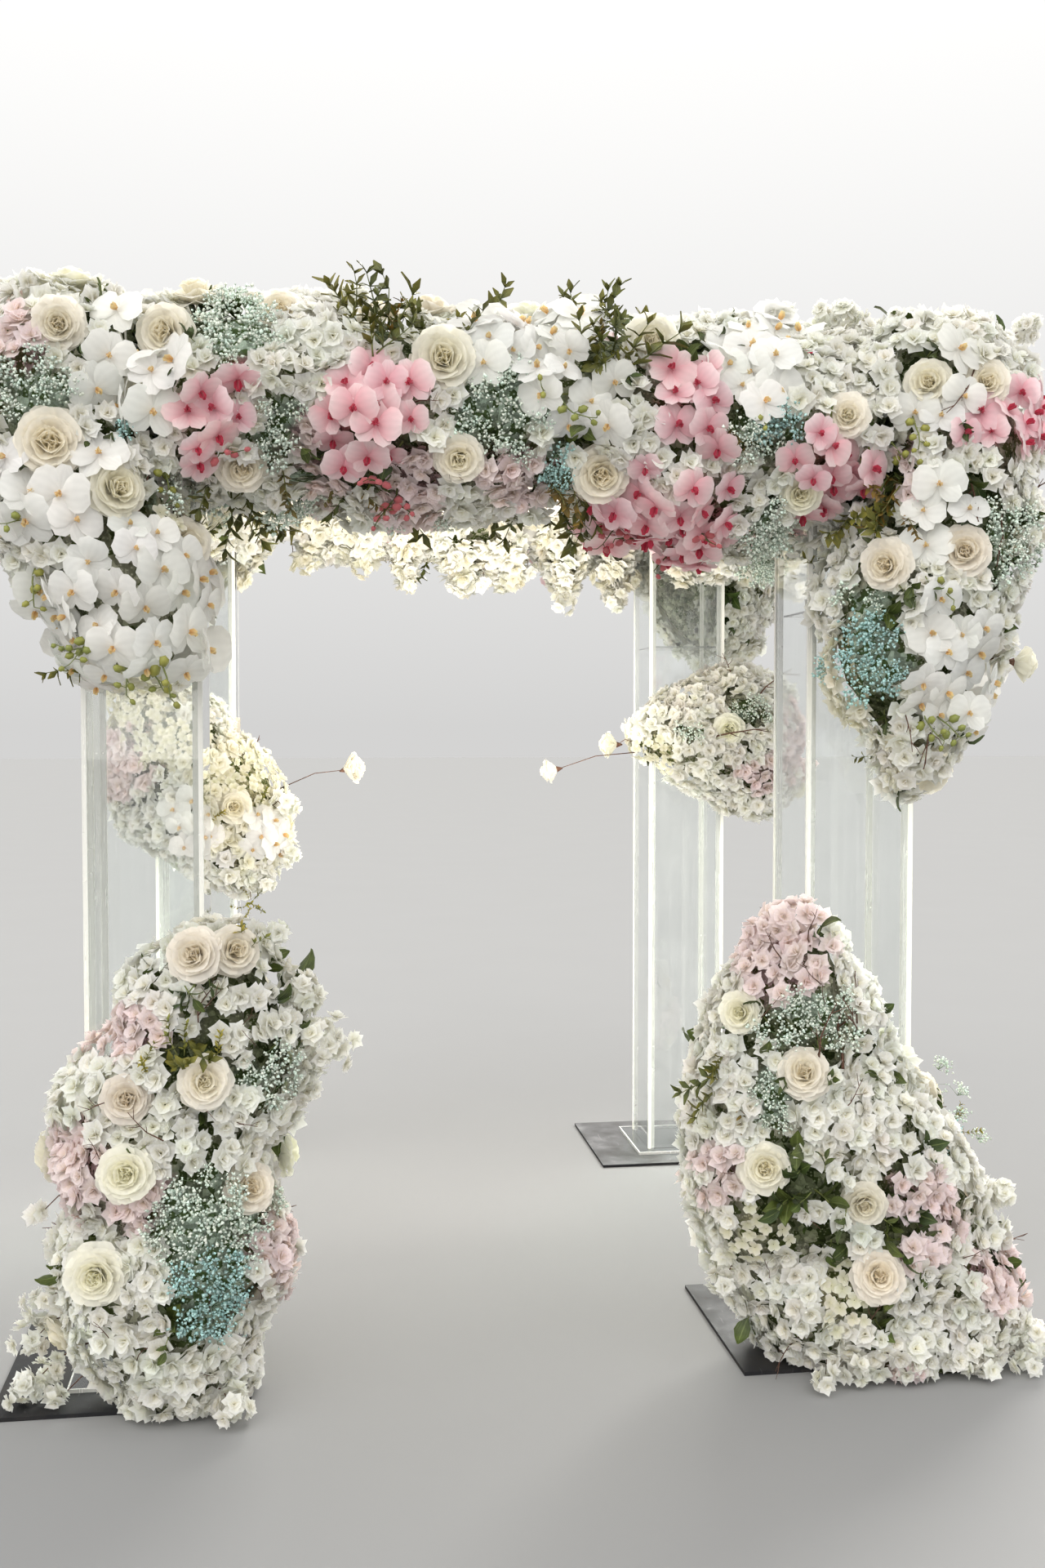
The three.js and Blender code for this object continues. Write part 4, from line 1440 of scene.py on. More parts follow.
@dataclass(frozen=True)
class Keepout:
    """The rigid things that no petal may enter, and how far the flowers may reach.

    Attributes:
        centre: Distance of a column's middle from the planes of symmetry.
        half: Half a column's width.
        head: Height of the column heads.
        plate_half: Half a base plate's width.
        plate_shift: Offset of a plate's middle from its column's.
        plate_top: Height of the plates' upper face.
        reach: How far out the flowers may reach.
        crest: How high they may reach.
        floor: How low they may reach.
        gap: Air left beside what is rigid.
    """

    centre: float
    half: float
    head: float
    plate_half: float
    plate_shift: float
    plate_top: float
    reach: float
    crest: float
    floor: float = 0.004
    gap: float = 0.003

    @staticmethod
    def measured() -> "Keepout":
        """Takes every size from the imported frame.

        Returns:
            The sizes.
        """
        low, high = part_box("back_right_cap_plate")
        plate_low, plate_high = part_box("back_right_base_plate")
        box_low, box_high = CAD_BOX
        share, margin = 0.022, 0.008
        return Keepout(
            centre=(low.x + high.x) / 2,
            half=(high.x - low.x) / 2,
            head=high.z,
            plate_half=(plate_high.x - plate_low.x) / 2,
            plate_shift=(plate_low.x + plate_high.x - low.x - high.x) / 2,
            plate_top=plate_high.z,
            reach=box_high.x + (box_high.x - box_low.x) * share + margin,
            crest=box_high.z + (box_high.z - box_low.z) * share + margin,
        )

    @property
    def limits(self) -> tuple[np.ndarray, np.ndarray]:
        """Lowest and highest corner of the space that the flowers may fill."""
        low = np.array((-self.reach, -self.reach, self.floor))
        return low, np.array((self.reach, self.reach, self.crest))

    def draw_in(self, points: np.ndarray) -> None:
        """Moves a plant that reaches too far back inside, in one piece, by changing its points."""
        low, high = self.limits
        points += np.maximum(low - points.min(axis=0), 0) - np.maximum(points.max(axis=0) - high, 0)

    def clear(self, points: np.ndarray) -> None:
        """Presses vertices out of the columns and the ground, and inside the reach.

        Args:
            points: Vertex places, changed in place.
        """
        np.clip(points, *self.limits, out=points)
        skin = self.half + self.gap
        for sign_x, sign_y in product((-1, 1), repeat=2):
            local_x = points[:, 0] - sign_x * self.centre
            local_y = points[:, 1] - sign_y * self.centre
            inside = (np.abs(local_x) < skin) & (np.abs(local_y) < skin) & (points[:, 2] < self.head)
            push_x = inside & (np.abs(local_x) >= np.abs(local_y))
            push_y = inside & ~push_x
            points[push_x, 0] = sign_x * self.centre + np.sign(local_x[push_x]) * skin
            points[push_y, 1] = sign_y * self.centre + np.sign(local_y[push_y]) * skin
            over_x = np.abs(local_x - self.plate_shift) < self.plate_half
            over_y = np.abs(local_y) < self.plate_half
            bottom = self.plate_top + self.gap
            points[over_x & over_y & (points[:, 2] < bottom), 2] = bottom


@dataclass
class Plant:
    """One planted flower."""

    kind: Bloom
    spot: Vector
    out: Vector
    size: float
    shown: bool = True


class Spacing:
    """Remembers where flowers stand, and says whether another one fits."""

    CELL = 0.12

    def __init__(self) -> None:
        """Starts with nothing planted."""
        self.cells: dict[tuple[int, int, int], list[tuple[Vector, float]]] = {}

    def key(self, spot: Vector) -> tuple[int, int, int]:
        """The cell that a spot lies in."""
        return tuple(math.floor(value / self.CELL) for value in spot)

    def fits(self, spot: Vector, spacing: float) -> bool:
        """True if no planted flower stands too near.

        Args:
            spot: The place.
            spacing: The room that the flower needs.

        Returns:
            Whether it fits.
        """
        around = product(*((value - 1, value, value + 1) for value in self.key(spot)))
        return not any(
            (other - spot).length < (room + spacing) / 2
            for cell in around
            for other, room in self.cells.get(cell, ())
        )

    def take(self, spot: Vector, spacing: float) -> None:
        """Marks a spot as planted."""
        self.cells.setdefault(self.key(spot), []).append((spot, spacing))


@dataclass(frozen=True)
class Clump:
    """The ball of flowers that a place belongs to, as a mass is tied from many small bunches.

    Attributes:
        rise: How high the place lies on its ball, from -0.6 in a deep crease to 1 on top.
        away: The way from the ball's middle.
        gape: How far a crease gapes here, in balls, and 0 outside such creases.
    """

    rise: float
    away: Vector
    gape: float

    @staticmethod
    def at(spot: Vector) -> "Clump":
        """Finds the ball at a place.

        Args:
            spot: The place.

        Returns:
            The ball there.
        """
        many = 6.2
        near, middles = noise.voronoi(spot * many)
        rise = max(-0.6, 1 - (near[0] / 0.72) ** 2)
        gape = max(0.0, 0.30 - near[1] + near[0]) if noise.noise(spot * 3.7) > 0.06 else 0.0
        return Clump(rise, spot - middles[0] / many, gape)


def solid_tree(names: Iterable[str]) -> BVHTree:
    """A search tree over several nodes' faces.

    Args:
        names: The nodes' names.

    Returns:
        The tree.
    """
    points: list[Vector] = []
    faces: list[tuple[int, ...]] = []
    for name in names:
        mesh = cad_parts[name].data
        start = len(points)
        points += [vert.co.copy() for vert in mesh.vertices]
        faces += [tuple(start + index for index in face.vertices) for face in mesh.polygons]
    return BVHTree.FromPolygons(points, faces)


def spot_tree(spots: Sequence[Vector]) -> KDTree:
    """A search tree over places, which it knows by their numbers.

    Args:
        spots: The places.

    Returns:
        The tree.
    """
    tree = KDTree(len(spots))
    for index, spot in enumerate(spots):
        tree.insert(spot, index)
    tree.balance()
    return tree


def store_tone(mesh: bpy.types.Mesh, tones: np.ndarray | Sequence[Colour]) -> None:
    """Stores a colour on each vertex of a mesh."""
    rgba = np.ones((len(tones), 4), np.float32)
    rgba[:, :3] = tones
    mesh.color_attributes.new("tone", "FLOAT_COLOR", "POINT").data.foreach_set("color", rgba.ravel())


def colour_mesh(name: str, stock: Stock, material: bpy.types.Material) -> bpy.types.Object:
    """Turns arrays into one smooth-shaded object with its colours stored.

    Args:
        name: The object's name.
        stock: The arrays.
        material: Its finish.

    Returns:
        The new object, at the origin.
    """
    mesh = bpy.data.meshes.new(name)
    mesh.vertices.add(len(stock.points))
    mesh.vertices.foreach_set("co", stock.points.astype(np.float32).ravel())
    mesh.loops.add(len(stock.loops))
    mesh.loops.foreach_set("vertex_index", stock.loops.astype(np.int32))
    mesh.polygons.add(len(stock.counts))
    starts = np.concatenate(([0], np.cumsum(stock.counts)[:-1])).astype(np.int32)
    mesh.polygons.foreach_set("loop_start", starts)
    mesh.polygons.foreach_set("use_smooth", np.ones(len(stock.counts), bool))
    mesh.update(calc_edges=True)
    store_tone(mesh, np.clip(stock.tone, 0, 1))
    across = mesh.attributes.new("across", "FLOAT", "POINT")
    across.data.foreach_set("value", stock.across.astype(np.float32))
    mesh.materials.append(material)
    made = bpy.data.objects.new(name, mesh)
    bpy.context.scene.collection.objects.link(made)
    return made


@dataclass(frozen=True)
class Family:
    """A piece of each mass, and the kinds that are joined into it."""

    word: str
    kinds: tuple[Bloom, ...]
    slot: str
    finish: str


FAMILIES = (
    Family("white_petals", (Bloom.WHITE, Bloom.WHITE_ORCHID), "white_petal", "petal"),
    Family("pink_petals", (Bloom.BLUSH, Bloom.PINK_ORCHID, Bloom.PINK_BUD), "pink_petal", "petal"),
    Family("cream_petals", (Bloom.CREAM, Bloom.HYDRANGEA, Bloom.ROSE, Bloom.CUPPED), "cream_petal", "petal"),
    Family("mint_sprigs", (Bloom.MINT, Bloom.AQUA), "mint_sprig", "sprig"),
    Family("leaves", GREENS, "green_leaf", "leaf"),
    Family("twigs", (Bloom.TWIG,), "brown_twig", "twig"),
)


@dataclass
class FlowerMass:
    """One garland, cluster or arrangement, planted over its solid.

    Attributes:
        node: The solid's name.
        mix: What grows where the photograph doesn't show, with shares.
        roses: How many roses stand on the unseen sides.
        seed: Seed of the planting.
        drift: Rough width of a patch of one kind, in metres.
        sprays: Leaf sprays, bud sprays and twigs that stand out, for each square metre.
        plants: What is planted.
        stalks: Thin stems that carry what stands outside the mass.
    """

    node: str
    mix: tuple[tuple[Bloom, float], ...]
    roses: int
    seed: int
    drift: float = 0.2
    sprays: tuple[float, float, float] = (7.0, 2.5, 5.0)
    plants: list[Plant] = field(default_factory=list)
    stalks: list[Stock] = field(default_factory=list)

    def __post_init__(self) -> None:
        """Reads the solid's faces."""
        self.luck = np.random.default_rng(self.seed)
        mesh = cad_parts[self.node].data
        points = np.array([vert.co for vert in mesh.vertices])
        self.triangles = np.array([points[list(face.vertices)[:3]] for face in mesh.polygons])
        first, second, third = self.triangles.transpose(1, 0, 2)
        across = np.cross(second - first, third - first)
        sizes = np.linalg.norm(across, axis=1)
        self.area = sizes.sum() / 2
        self.shares = sizes / sizes.sum()
        self.normals = across / np.maximum(sizes[:, None], 1e-12)
        self.tree = solid_tree((self.node,))

    def spots(self, amount: int) -> list[tuple[Vector, Vector]]:
        """Random places on the solid, with the way out of it.

        Args:
            amount: How many places.

        Returns:
            The places, each with its way out.
        """
        picks = self.luck.choice(len(self.shares), amount, p=self.shares)
        a, b = self.luck.random((2, amount))
        over = a + b > 1
        a[over], b[over] = 1 - a[over], 1 - b[over]
        tri = self.triangles[picks]
        places = tri[:, 0] + a[:, None] * (tri[:, 1] - tri[:, 0]) + b[:, None] * (tri[:, 2] - tri[:, 0])
        return [(Vector(place), Vector(self.normals[pick])) for place, pick in zip(places, picks)]

    def drifts(self) -> tuple[KDTree, list[Bloom]]:
        """Places the patches on the unseen sides.

        Returns:
            A search tree over the patches' middles, and the kind of each.
        """
        amount = max(6, int(self.area / self.drift**2 * 1.3))
        kinds = [kind for kind, _ in self.mix]
        shares = np.array([share for _, share in self.mix])
        picked = self.luck.choice(len(kinds), amount, p=shares / shares.sum())
        return spot_tree([spot for spot, _ in self.spots(amount)]), [kinds[index] for index in picked]


class Garden:
    """Plants every flower mass and makes its meshes. All lengths are in metres."""

    TWIG_THICK = 0.0024
    BED_VOXEL = 0.034
    BED_INSET = 0.034
    GRAIN = 0.0088
    GROUND_GAP = 0.026
    TUCK = 0.022
    REACH = 0.06
    COARSE = 1.46
    HEM_FROM = 2.60
    HEM_DEEP = 0.22
    NEAR_GROUND = 0.12
    ROOM = 0.035
    EYE_SLACK = 0.05

    def __init__(self, book: dict[Bloom, Recipe], finishes: dict[str, bpy.types.Material]) -> None:
        """Measures the frame.

        Args:
            book: The recipe of each kind.
            finishes: The materials by name.
        """
        self.book = book
        self.finishes = finishes
        self.keepout = Keepout.measured()
        self.spacing = Spacing()
        self.eye = Vector(VIEW.place)
        self.masses = [FlowerMass(f"{side}_garland", TOP_MIX, 14, 20 + at) for at, side in enumerate(SIDES)]
        for at, corner in enumerate(CORNERS):
            self.masses.append(FlowerMass(f"{corner}_corner_cluster", TOP_MIX, 2, 40 + at, 0.16))
            front = corner.startswith("front")
            name = f"{corner}_base_arrangement" if front else f"{corner}_column_arrangement"
            mix, roses = (BASE_MIX, 9) if front else (MIDDLE_MIX, 3)
            self.masses.append(FlowerMass(name, mix, roses, 60 + at, 0.14, (0.0, 0.0, 8.0)))
        soft = [mass.node for mass in self.masses]
        self.soft_tree = solid_tree(soft)
        self.rigid_tree = solid_tree(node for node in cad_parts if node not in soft)

    def buried(self, spot: Vector, out: Vector) -> bool:
        """True if a flower there would stand inside a column, a beam or another mass."""
        start = spot + out * 0.0015
        trees = (self.soft_tree, self.rigid_tree)
        return any(tree.ray_cast(start, out, self.ROOM)[0] is not None for tree in trees)

    def strike(self, px: float, py: float) -> tuple[Vector, Vector] | None:
        """Where the photograph's ray through a pixel meets the flower masses, and the way out there."""
        spot, out, _, _ = self.soft_tree.ray_cast(self.eye, VIEW.ray(px, py))
        return None if spot is None else (spot, out)

    def seen(self, spot: Vector) -> bool:
        """True if the photograph's camera sees a place on the masses."""
        way = spot - self.eye
        hit = self.soft_tree.ray_cast(self.eye, way.normalized(), way.length + 1)
        return hit[0] is not None and hit[3] > way.length - self.EYE_SLACK

    def stands_out(self, spot: Vector) -> bool:
        """True if the camera sees a place that may lie outside the masses."""
        way = spot - self.eye
        hit = self.soft_tree.ray_cast(self.eye, way.normalized(), way.length)
        return hit[0] is None or hit[3] > way.length - self.EYE_SLACK

    def nearest(self, spot: Vector) -> tuple[FlowerMass, Vector]:
        """The mass that lies nearest to a place, and its nearest point."""
        found = [(mass.tree.find_nearest(spot), mass) for mass in self.masses]
        (point, _, _, _), mass = min(found, key=lambda entry: entry[0][3])
        return mass, point

    def on_rose(self, spot: Vector) -> bool:
        """True if a rose stands at a place."""
        roses = (plant for mass in self.masses for plant in mass.plants if plant.kind is Bloom.ROSE)
        return any((rose.spot - spot).length < rose.size * 1.5 for rose in roses)

    def all_blossom(self, mass: FlowerMass, out: Vector) -> bool:
        """True on the back garland's front and underside, which carry small blossoms only."""
        return mass.node == "back_garland" and out.y < 0.5 and out.z < 0.5

    def hem(self, mass: FlowerMass, spot: Vector) -> float:
        """How far the back garland's flowers are drawn up, from nothing at mid-height to all at the hem.

        Args:
            mass: The flower mass.
            spot: A place on it.

        Returns:
            The rise in metres.
        """
        if mass.node != "back_garland":
            return 0.0
        low = min(1.0, max(0.0, (self.HEM_FROM - spot.z) / self.HEM_DEEP))
        return low * float(np.interp(VIEW.pixel(spot)[0], *zip(*BACK_HEM)))

    def kind_at(
        self, mass: FlowerMass, drifts: tuple[KDTree, list[Bloom]], spot: Vector, out: Vector
    ) -> tuple[Bloom, bool]:
        """Says what grows at a spot.

        Args:
            mass: The mass that the spot is on.
            drifts: The mass's patches on the unseen sides.
            spot: The place.
            out: The way out of the mass there.

        Returns:
            The kind, and whether the photograph shows it.
        """
        if self.all_blossom(mass, out):
            return (Bloom.CREAM if mass.luck.random() < 0.35 else Bloom.WHITE), self.seen(spot)
        shown = self.seen(spot)
        if shown or self.stands_out(spot + out * self.REACH):
            px, py = VIEW.pixel(spot + out * 0.02)
            px += mass.luck.normal(0, 6)
            py += mass.luck.normal(0, 6)
            for patch in reversed(PATCHES):
                if patch.holds(px, py):
                    return patch.kind, shown
            inside = mass.node in ("back_garland", "left_garland", "right_garland")
            return (Bloom.CREAM if inside and mass.luck.random() < 0.3 else Bloom.WHITE), shown
        tree, kinds = drifts
        _, index, _ = tree.find(spot + Vector(mass.luck.normal(0, 0.02, 3)))
        return kinds[index], False

    def set_seen_roses(self) -> None:
        """Plants the roses that the photograph shows."""
        for px, py, radius in ROSES_SEEN:
            struck = self.strike(px, py)
            if struck is None:
                continue
            spot, out = struck
            size = radius / VIEW.focal_px * (spot - self.eye).length * 1.05
            towards = (self.eye - spot).normalized()
            mass, _ = self.nearest(spot)
            spot = spot + towards * size * 0.35
            self.spacing.take(spot, size * 1.75)
            mass.plants.append(Plant(Bloom.ROSE, spot, (out * 0.5 + towards).normalized(), size))

    def set_hidden_roses(self, mass: FlowerMass) -> None:
        """Plants some roses on a mass's unseen sides.

        Args:
            mass: The flower mass.
        """
        recipe = self.book[Bloom.ROSE]
        planted = 0
        for spot, out in mass.spots(mass.roses * 30):
            if planted == mass.roses:
                break
            if self.buried(spot, out) or self.seen(spot) or out.z < -0.6:
                continue
            spot = spot + out * recipe.lift
            if self.spacing.fits(spot, recipe.spacing * 2.4):
                self.spacing.take(spot, recipe.spacing)
                size = recipe.size * mass.luck.uniform(0.9, 1.1)
                mass.plants.append(Plant(Bloom.ROSE, spot, out, size, False))
                planted += 1

    def set_accents(self) -> None:
        """Plants the sprays, leaves, buds and twigs that the photograph shows."""
        ahead = VIEW.ray(VIEW.width_px / 2, VIEW.height_px / 2)
        for kind, marks in ACCENTS:
            for root_x, root_y, tip_x, tip_y in marks:
                struck = self.strike(root_x, root_y)
                if struck is None or (kind is Bloom.FERN and self.on_rose(struck[0])):
                    continue
                spot = struck[0]
                way = VIEW.ray(tip_x, tip_y)
                aim = self.eye + way * ((spot - self.eye).dot(ahead) / way.dot(ahead)) - spot
                size = max(aim.length * 1.1, 0.1 if kind in (Bloom.BUD, Bloom.PINK_BUD) else 0.055)
                towards = (self.eye - spot).normalized()
                mass, _ = self.nearest(spot)
                root = spot + towards * (0.03 + 0.02 * Clump.at(spot).rise)
                mass.plants.append(Plant(kind, root, (aim.normalized() + towards * 0.35).normalized(), size))

    def sow(self, mass: FlowerMass) -> None:
        """Plants one mass all over.

        Args:
            mass: The flower mass.
        """
        drifts = mass.drifts()
        for spot, out in mass.spots(int(mass.area / self.GRAIN**2 * 0.25)):
            if self.buried(spot, out) or (spot.z < 0.03 and out.z < -0.4):
                continue
            kind, shown = self.kind_at(mass, drifts, spot, out)
            clump = Clump.at(spot)
            hanging = self.all_blossom(mass, out)
            closed = hanging or mass.mix is MIDDLE_MIX
            if clump.gape > (0.17 if shown else 0.1) and kind in BLOSSOMS and not closed:
                if mass.luck.random() > 0.12 or spot.z < self.NEAR_GROUND:
                    continue
                kind = Bloom.LEAF
                spot = spot - out * self.TUCK
            recipe = self.book[kind]
            coarse = 1.0 if shown or kind is Bloom.HYDRANGEA else self.COARSE
            lump = clump.rise * 0.036 - 0.012 + noise.noise(spot * 23.0) * 0.010
            if mass.node.endswith("garland") and out.z < -0.3 and not hanging:
                lump += 0.07 * noise.noise(Vector((spot.x * 9.0, spot.y * 9.0, 7.1)))
            spot = spot + out * (recipe.lift + lump)
            spot.z = max(spot.z + self.hem(mass, spot), self.GROUND_GAP)
            out = (out + clump.away * 4.5).normalized()
            room = recipe.spacing * coarse
            if self.spacing.fits(spot, room):
                self.spacing.take(spot, room)
                size = recipe.size * coarse * mass.luck.uniform(0.85, 1.2)
                mass.plants.append(Plant(kind, spot, out, size, shown))

    def set_sprays(self, mass: FlowerMass) -> None:
        """Plants the leaf sprays, buds and twigs that stand out of the flowers.

        Args:
            mass: The flower mass.
        """
        for kind, dense in zip((Bloom.SPRAY, Bloom.BUD, Bloom.TWIG), mass.sprays):
            for spot, out in mass.spots(int(dense * mass.area * 1.4)):
                if self.buried(spot, out) or out.z < -0.75 or self.seen(spot) or self.on_rose(spot):
                    continue
                if spot.z < self.NEAR_GROUND or self.all_blossom(mass, out):
                    continue
                size = self.book[kind].size * mass.luck.uniform(0.7, 1.1)
                mass.plants.append(Plant(kind, spot - out * 0.012, out, size))

    def set_ball(self, mass: FlowerMass, puff: Puff, middle: Vector) -> None:
        """Plants a loose ball of blossoms, spread evenly over it.

        Args:
            mass: The mass that carries it.
            puff: The ball.
            middle: Its middle.
        """
        turn = math.pi * (3 - math.sqrt(5))
        for index in range(puff.count):
            height = 1 - 2 * (index + 0.5) / puff.count
            level = math.sqrt(1 - height * height)
            aim = Vector((level * math.cos(turn * index), level * math.sin(turn * index), height))
            aim = (aim + Vector(mass.luck.normal(0, 0.15, 3))).normalized()
            size = self.book[puff.kind].size * mass.luck.uniform(0.68, 0.9)
            reach = puff.radius * mass.luck.uniform(0.35 if puff.count < 50 else 0.85, 0.95)
            spot = middle + aim * reach
            spot.z = max(spot.z, self.GROUND_GAP)
            mass.plants.append(Plant(puff.kind, spot, aim, size, puff.depth < 0))

    def set_puffs(self) -> None:
        """Plants the loose balls and single roses outside the masses, and the twigs that carry them."""
        for puff in PUFFS:
            middle = VIEW.on_plane(puff.px, puff.py, puff.depth)
            mass, root = self.nearest(middle)
            away = (middle - root).normalized()
            if puff.count == 1:
                mass.plants.append(Plant(puff.kind, middle, away, puff.radius * 1.3))
                cup = [middle - away * 0.040, middle - away * 0.016]
                mass.stalks.append(stalk(cup, self.TWIG_THICK, 0.013, UNDYED, 6))
            else:
                self.set_ball(mass, puff, middle)
            path = [root, root.lerp(middle, 0.5) + Vector((0, 0, 0.02)), middle - away * 0.02]
            mass.stalks.append(stalk(path, self.TWIG_THICK, self.TWIG_THICK * 0.6, UNDYED))

    def stood(self, plant: Plant, luck: np.random.Generator) -> Stock:
        """One plant's stock at its place, leaning and turned a little by chance.

        Args:
            plant: The plant.
            luck: The mass's disorder.

        Returns:
            The stock in its place.
        """
        recipe = self.book[plant.kind]
        top = (plant.out + Vector(luck.normal(0, recipe.lean * 0.5, 3))).normalized()
        roll = luck.uniform(0, 2 * math.pi)
        turn = top.to_track_quat("Z", "Y").to_matrix()
        above = Vector((0, 0, 1)) - top * top.z
        if recipe.upright and above.length > 0.2:
            turn = Matrix((above.cross(top), above, top)).transposed()
            turn.normalize()
            roll = luck.normal(0, 0.3)
        placing = Matrix.Translation(plant.spot) @ (turn @ Matrix.Rotation(roll, 3, "Z")).to_4x4()
        choice = recipe.stocks if plant.shown or not recipe.plain else recipe.plain
        stock = choice[int(luck.integers(len(choice)))]
        tone = np.array(recipe.tone) * (1 + luck.normal(0, 0.035)) * (1 + luck.normal(0, 0.007, 3))
        if plant.kind in GREENS:
            tone = tone * (0.8 + luck.random() * np.array((0.9, 0.5, 0.3)))
        stood = stock.placed(placing, plant.size, tuple(tone))
        self.keepout.draw_in(stood.points)
        return stood

    def bed_tone(self, mass: FlowerMass, tree: KDTree, spot: Vector) -> Colour:
        """Colour of the bed at a place: that of what grows over it, darkened in an open crease as painted
        shade.

        Args:
            mass: The flower mass.
            tree: Search tree over its plants.
            spot: A place on its bed.

        Returns:
            The colour.
        """
        _, index, _ = tree.find(spot)
        pale = self.book[mass.plants[index].kind].bed
        if not Clump.at(spot).gape:
            return pale
        # Painted shade: an open crease is mostly darkened to dark olive
        return tuple(0.3 * light + 0.7 * dark for light, dark in zip(pale, (0.10, 0.11, 0.06)))

    def packed_bed(self, mass: FlowerMass) -> bpy.types.Object:
        """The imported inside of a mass, which shows between the flowers.

        Args:
            mass: The planted mass.

        Returns:
            The bed, which stands for the mass's solid.
        """
        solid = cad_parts[mass.node]
        copy = bpy.data.objects.new(f"{mass.node}_bed", solid.data.copy())
        bpy.context.scene.collection.objects.link(copy)
        Bench.hold(copy)
        bpy.ops.object.mode_set(mode="EDIT")
        bpy.ops.mesh.select_all(action="SELECT")
        bpy.ops.mesh.remove_doubles(threshold=0.0001)
        bpy.ops.object.mode_set(mode="OBJECT")
        Bench.modify(copy, "REMESH", mode="VOXEL", voxel_size=self.BED_VOXEL, use_smooth_shade=True)
        for vert in copy.data.vertices:
            lump = noise.noise(vert.co * 22.0) * 0.008 + Clump.at(vert.co).rise * 0.018
            skirt = self.BED_INSET if vert.co.z < 0.08 else 0.0
            vert.co -= vert.normal * (self.BED_INSET - lump) + Vector((0, 0, skirt))
            vert.co.z += self.hem(mass, vert.co)
        points = np.array([vert.co for vert in copy.data.vertices])
        self.keepout.clear(points)
        copy.data.vertices.foreach_set("co", points.ravel())
        copy.data.update()
        tree = spot_tree([plant.spot for plant in mass.plants])
        store_tone(copy.data, [self.bed_tone(mass, tree, vert.co) for vert in copy.data.vertices])
        copy.data.materials.clear()
        copy.data.materials.append(self.finishes["bed"])
        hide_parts(mass.node)
        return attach(copy, "root")

    def make_pieces(self, mass: FlowerMass) -> int:
        """Joins a mass's plants into its pieces.

        Args:
            mass: The planted mass.

        Returns:
            How many triangles they have.
        """
        luck = np.random.default_rng(mass.seed + 500)
        bed = self.packed_bed(mass)
        bed.data.calc_loop_triangles()
        total = len(bed.data.loop_triangles)
        for family in FAMILIES:
            parts = [self.stood(plant, luck) for plant in mass.plants if plant.kind in family.kinds]
            if family.word == "twigs":
                parts += mass.stalks
            if not parts:
                continue
            stock = Stock.gathered(parts)
            self.keepout.clear(stock.points)
            piece = colour_mesh(f"{mass.node}_{family.word}", stock, self.finishes[family.finish])
            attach(piece, "root")
            total += stock.triangles()
            LOG.info("%s: %d plants, %d triangles", piece.name, len(parts), stock.triangles())
        return total

    def plant_all(self) -> None:
        """Plants and builds every mass."""
        self.set_seen_roses()
        for mass in self.masses:
            self.set_hidden_roses(mass)
        for mass in self.masses:
            self.sow(mass)
            self.set_sprays(mass)
        self.set_puffs()
        self.set_accents()
        total = sum(self.make_pieces(mass) for mass in self.masses)
        LOG.info("flowers: %d triangles", total)


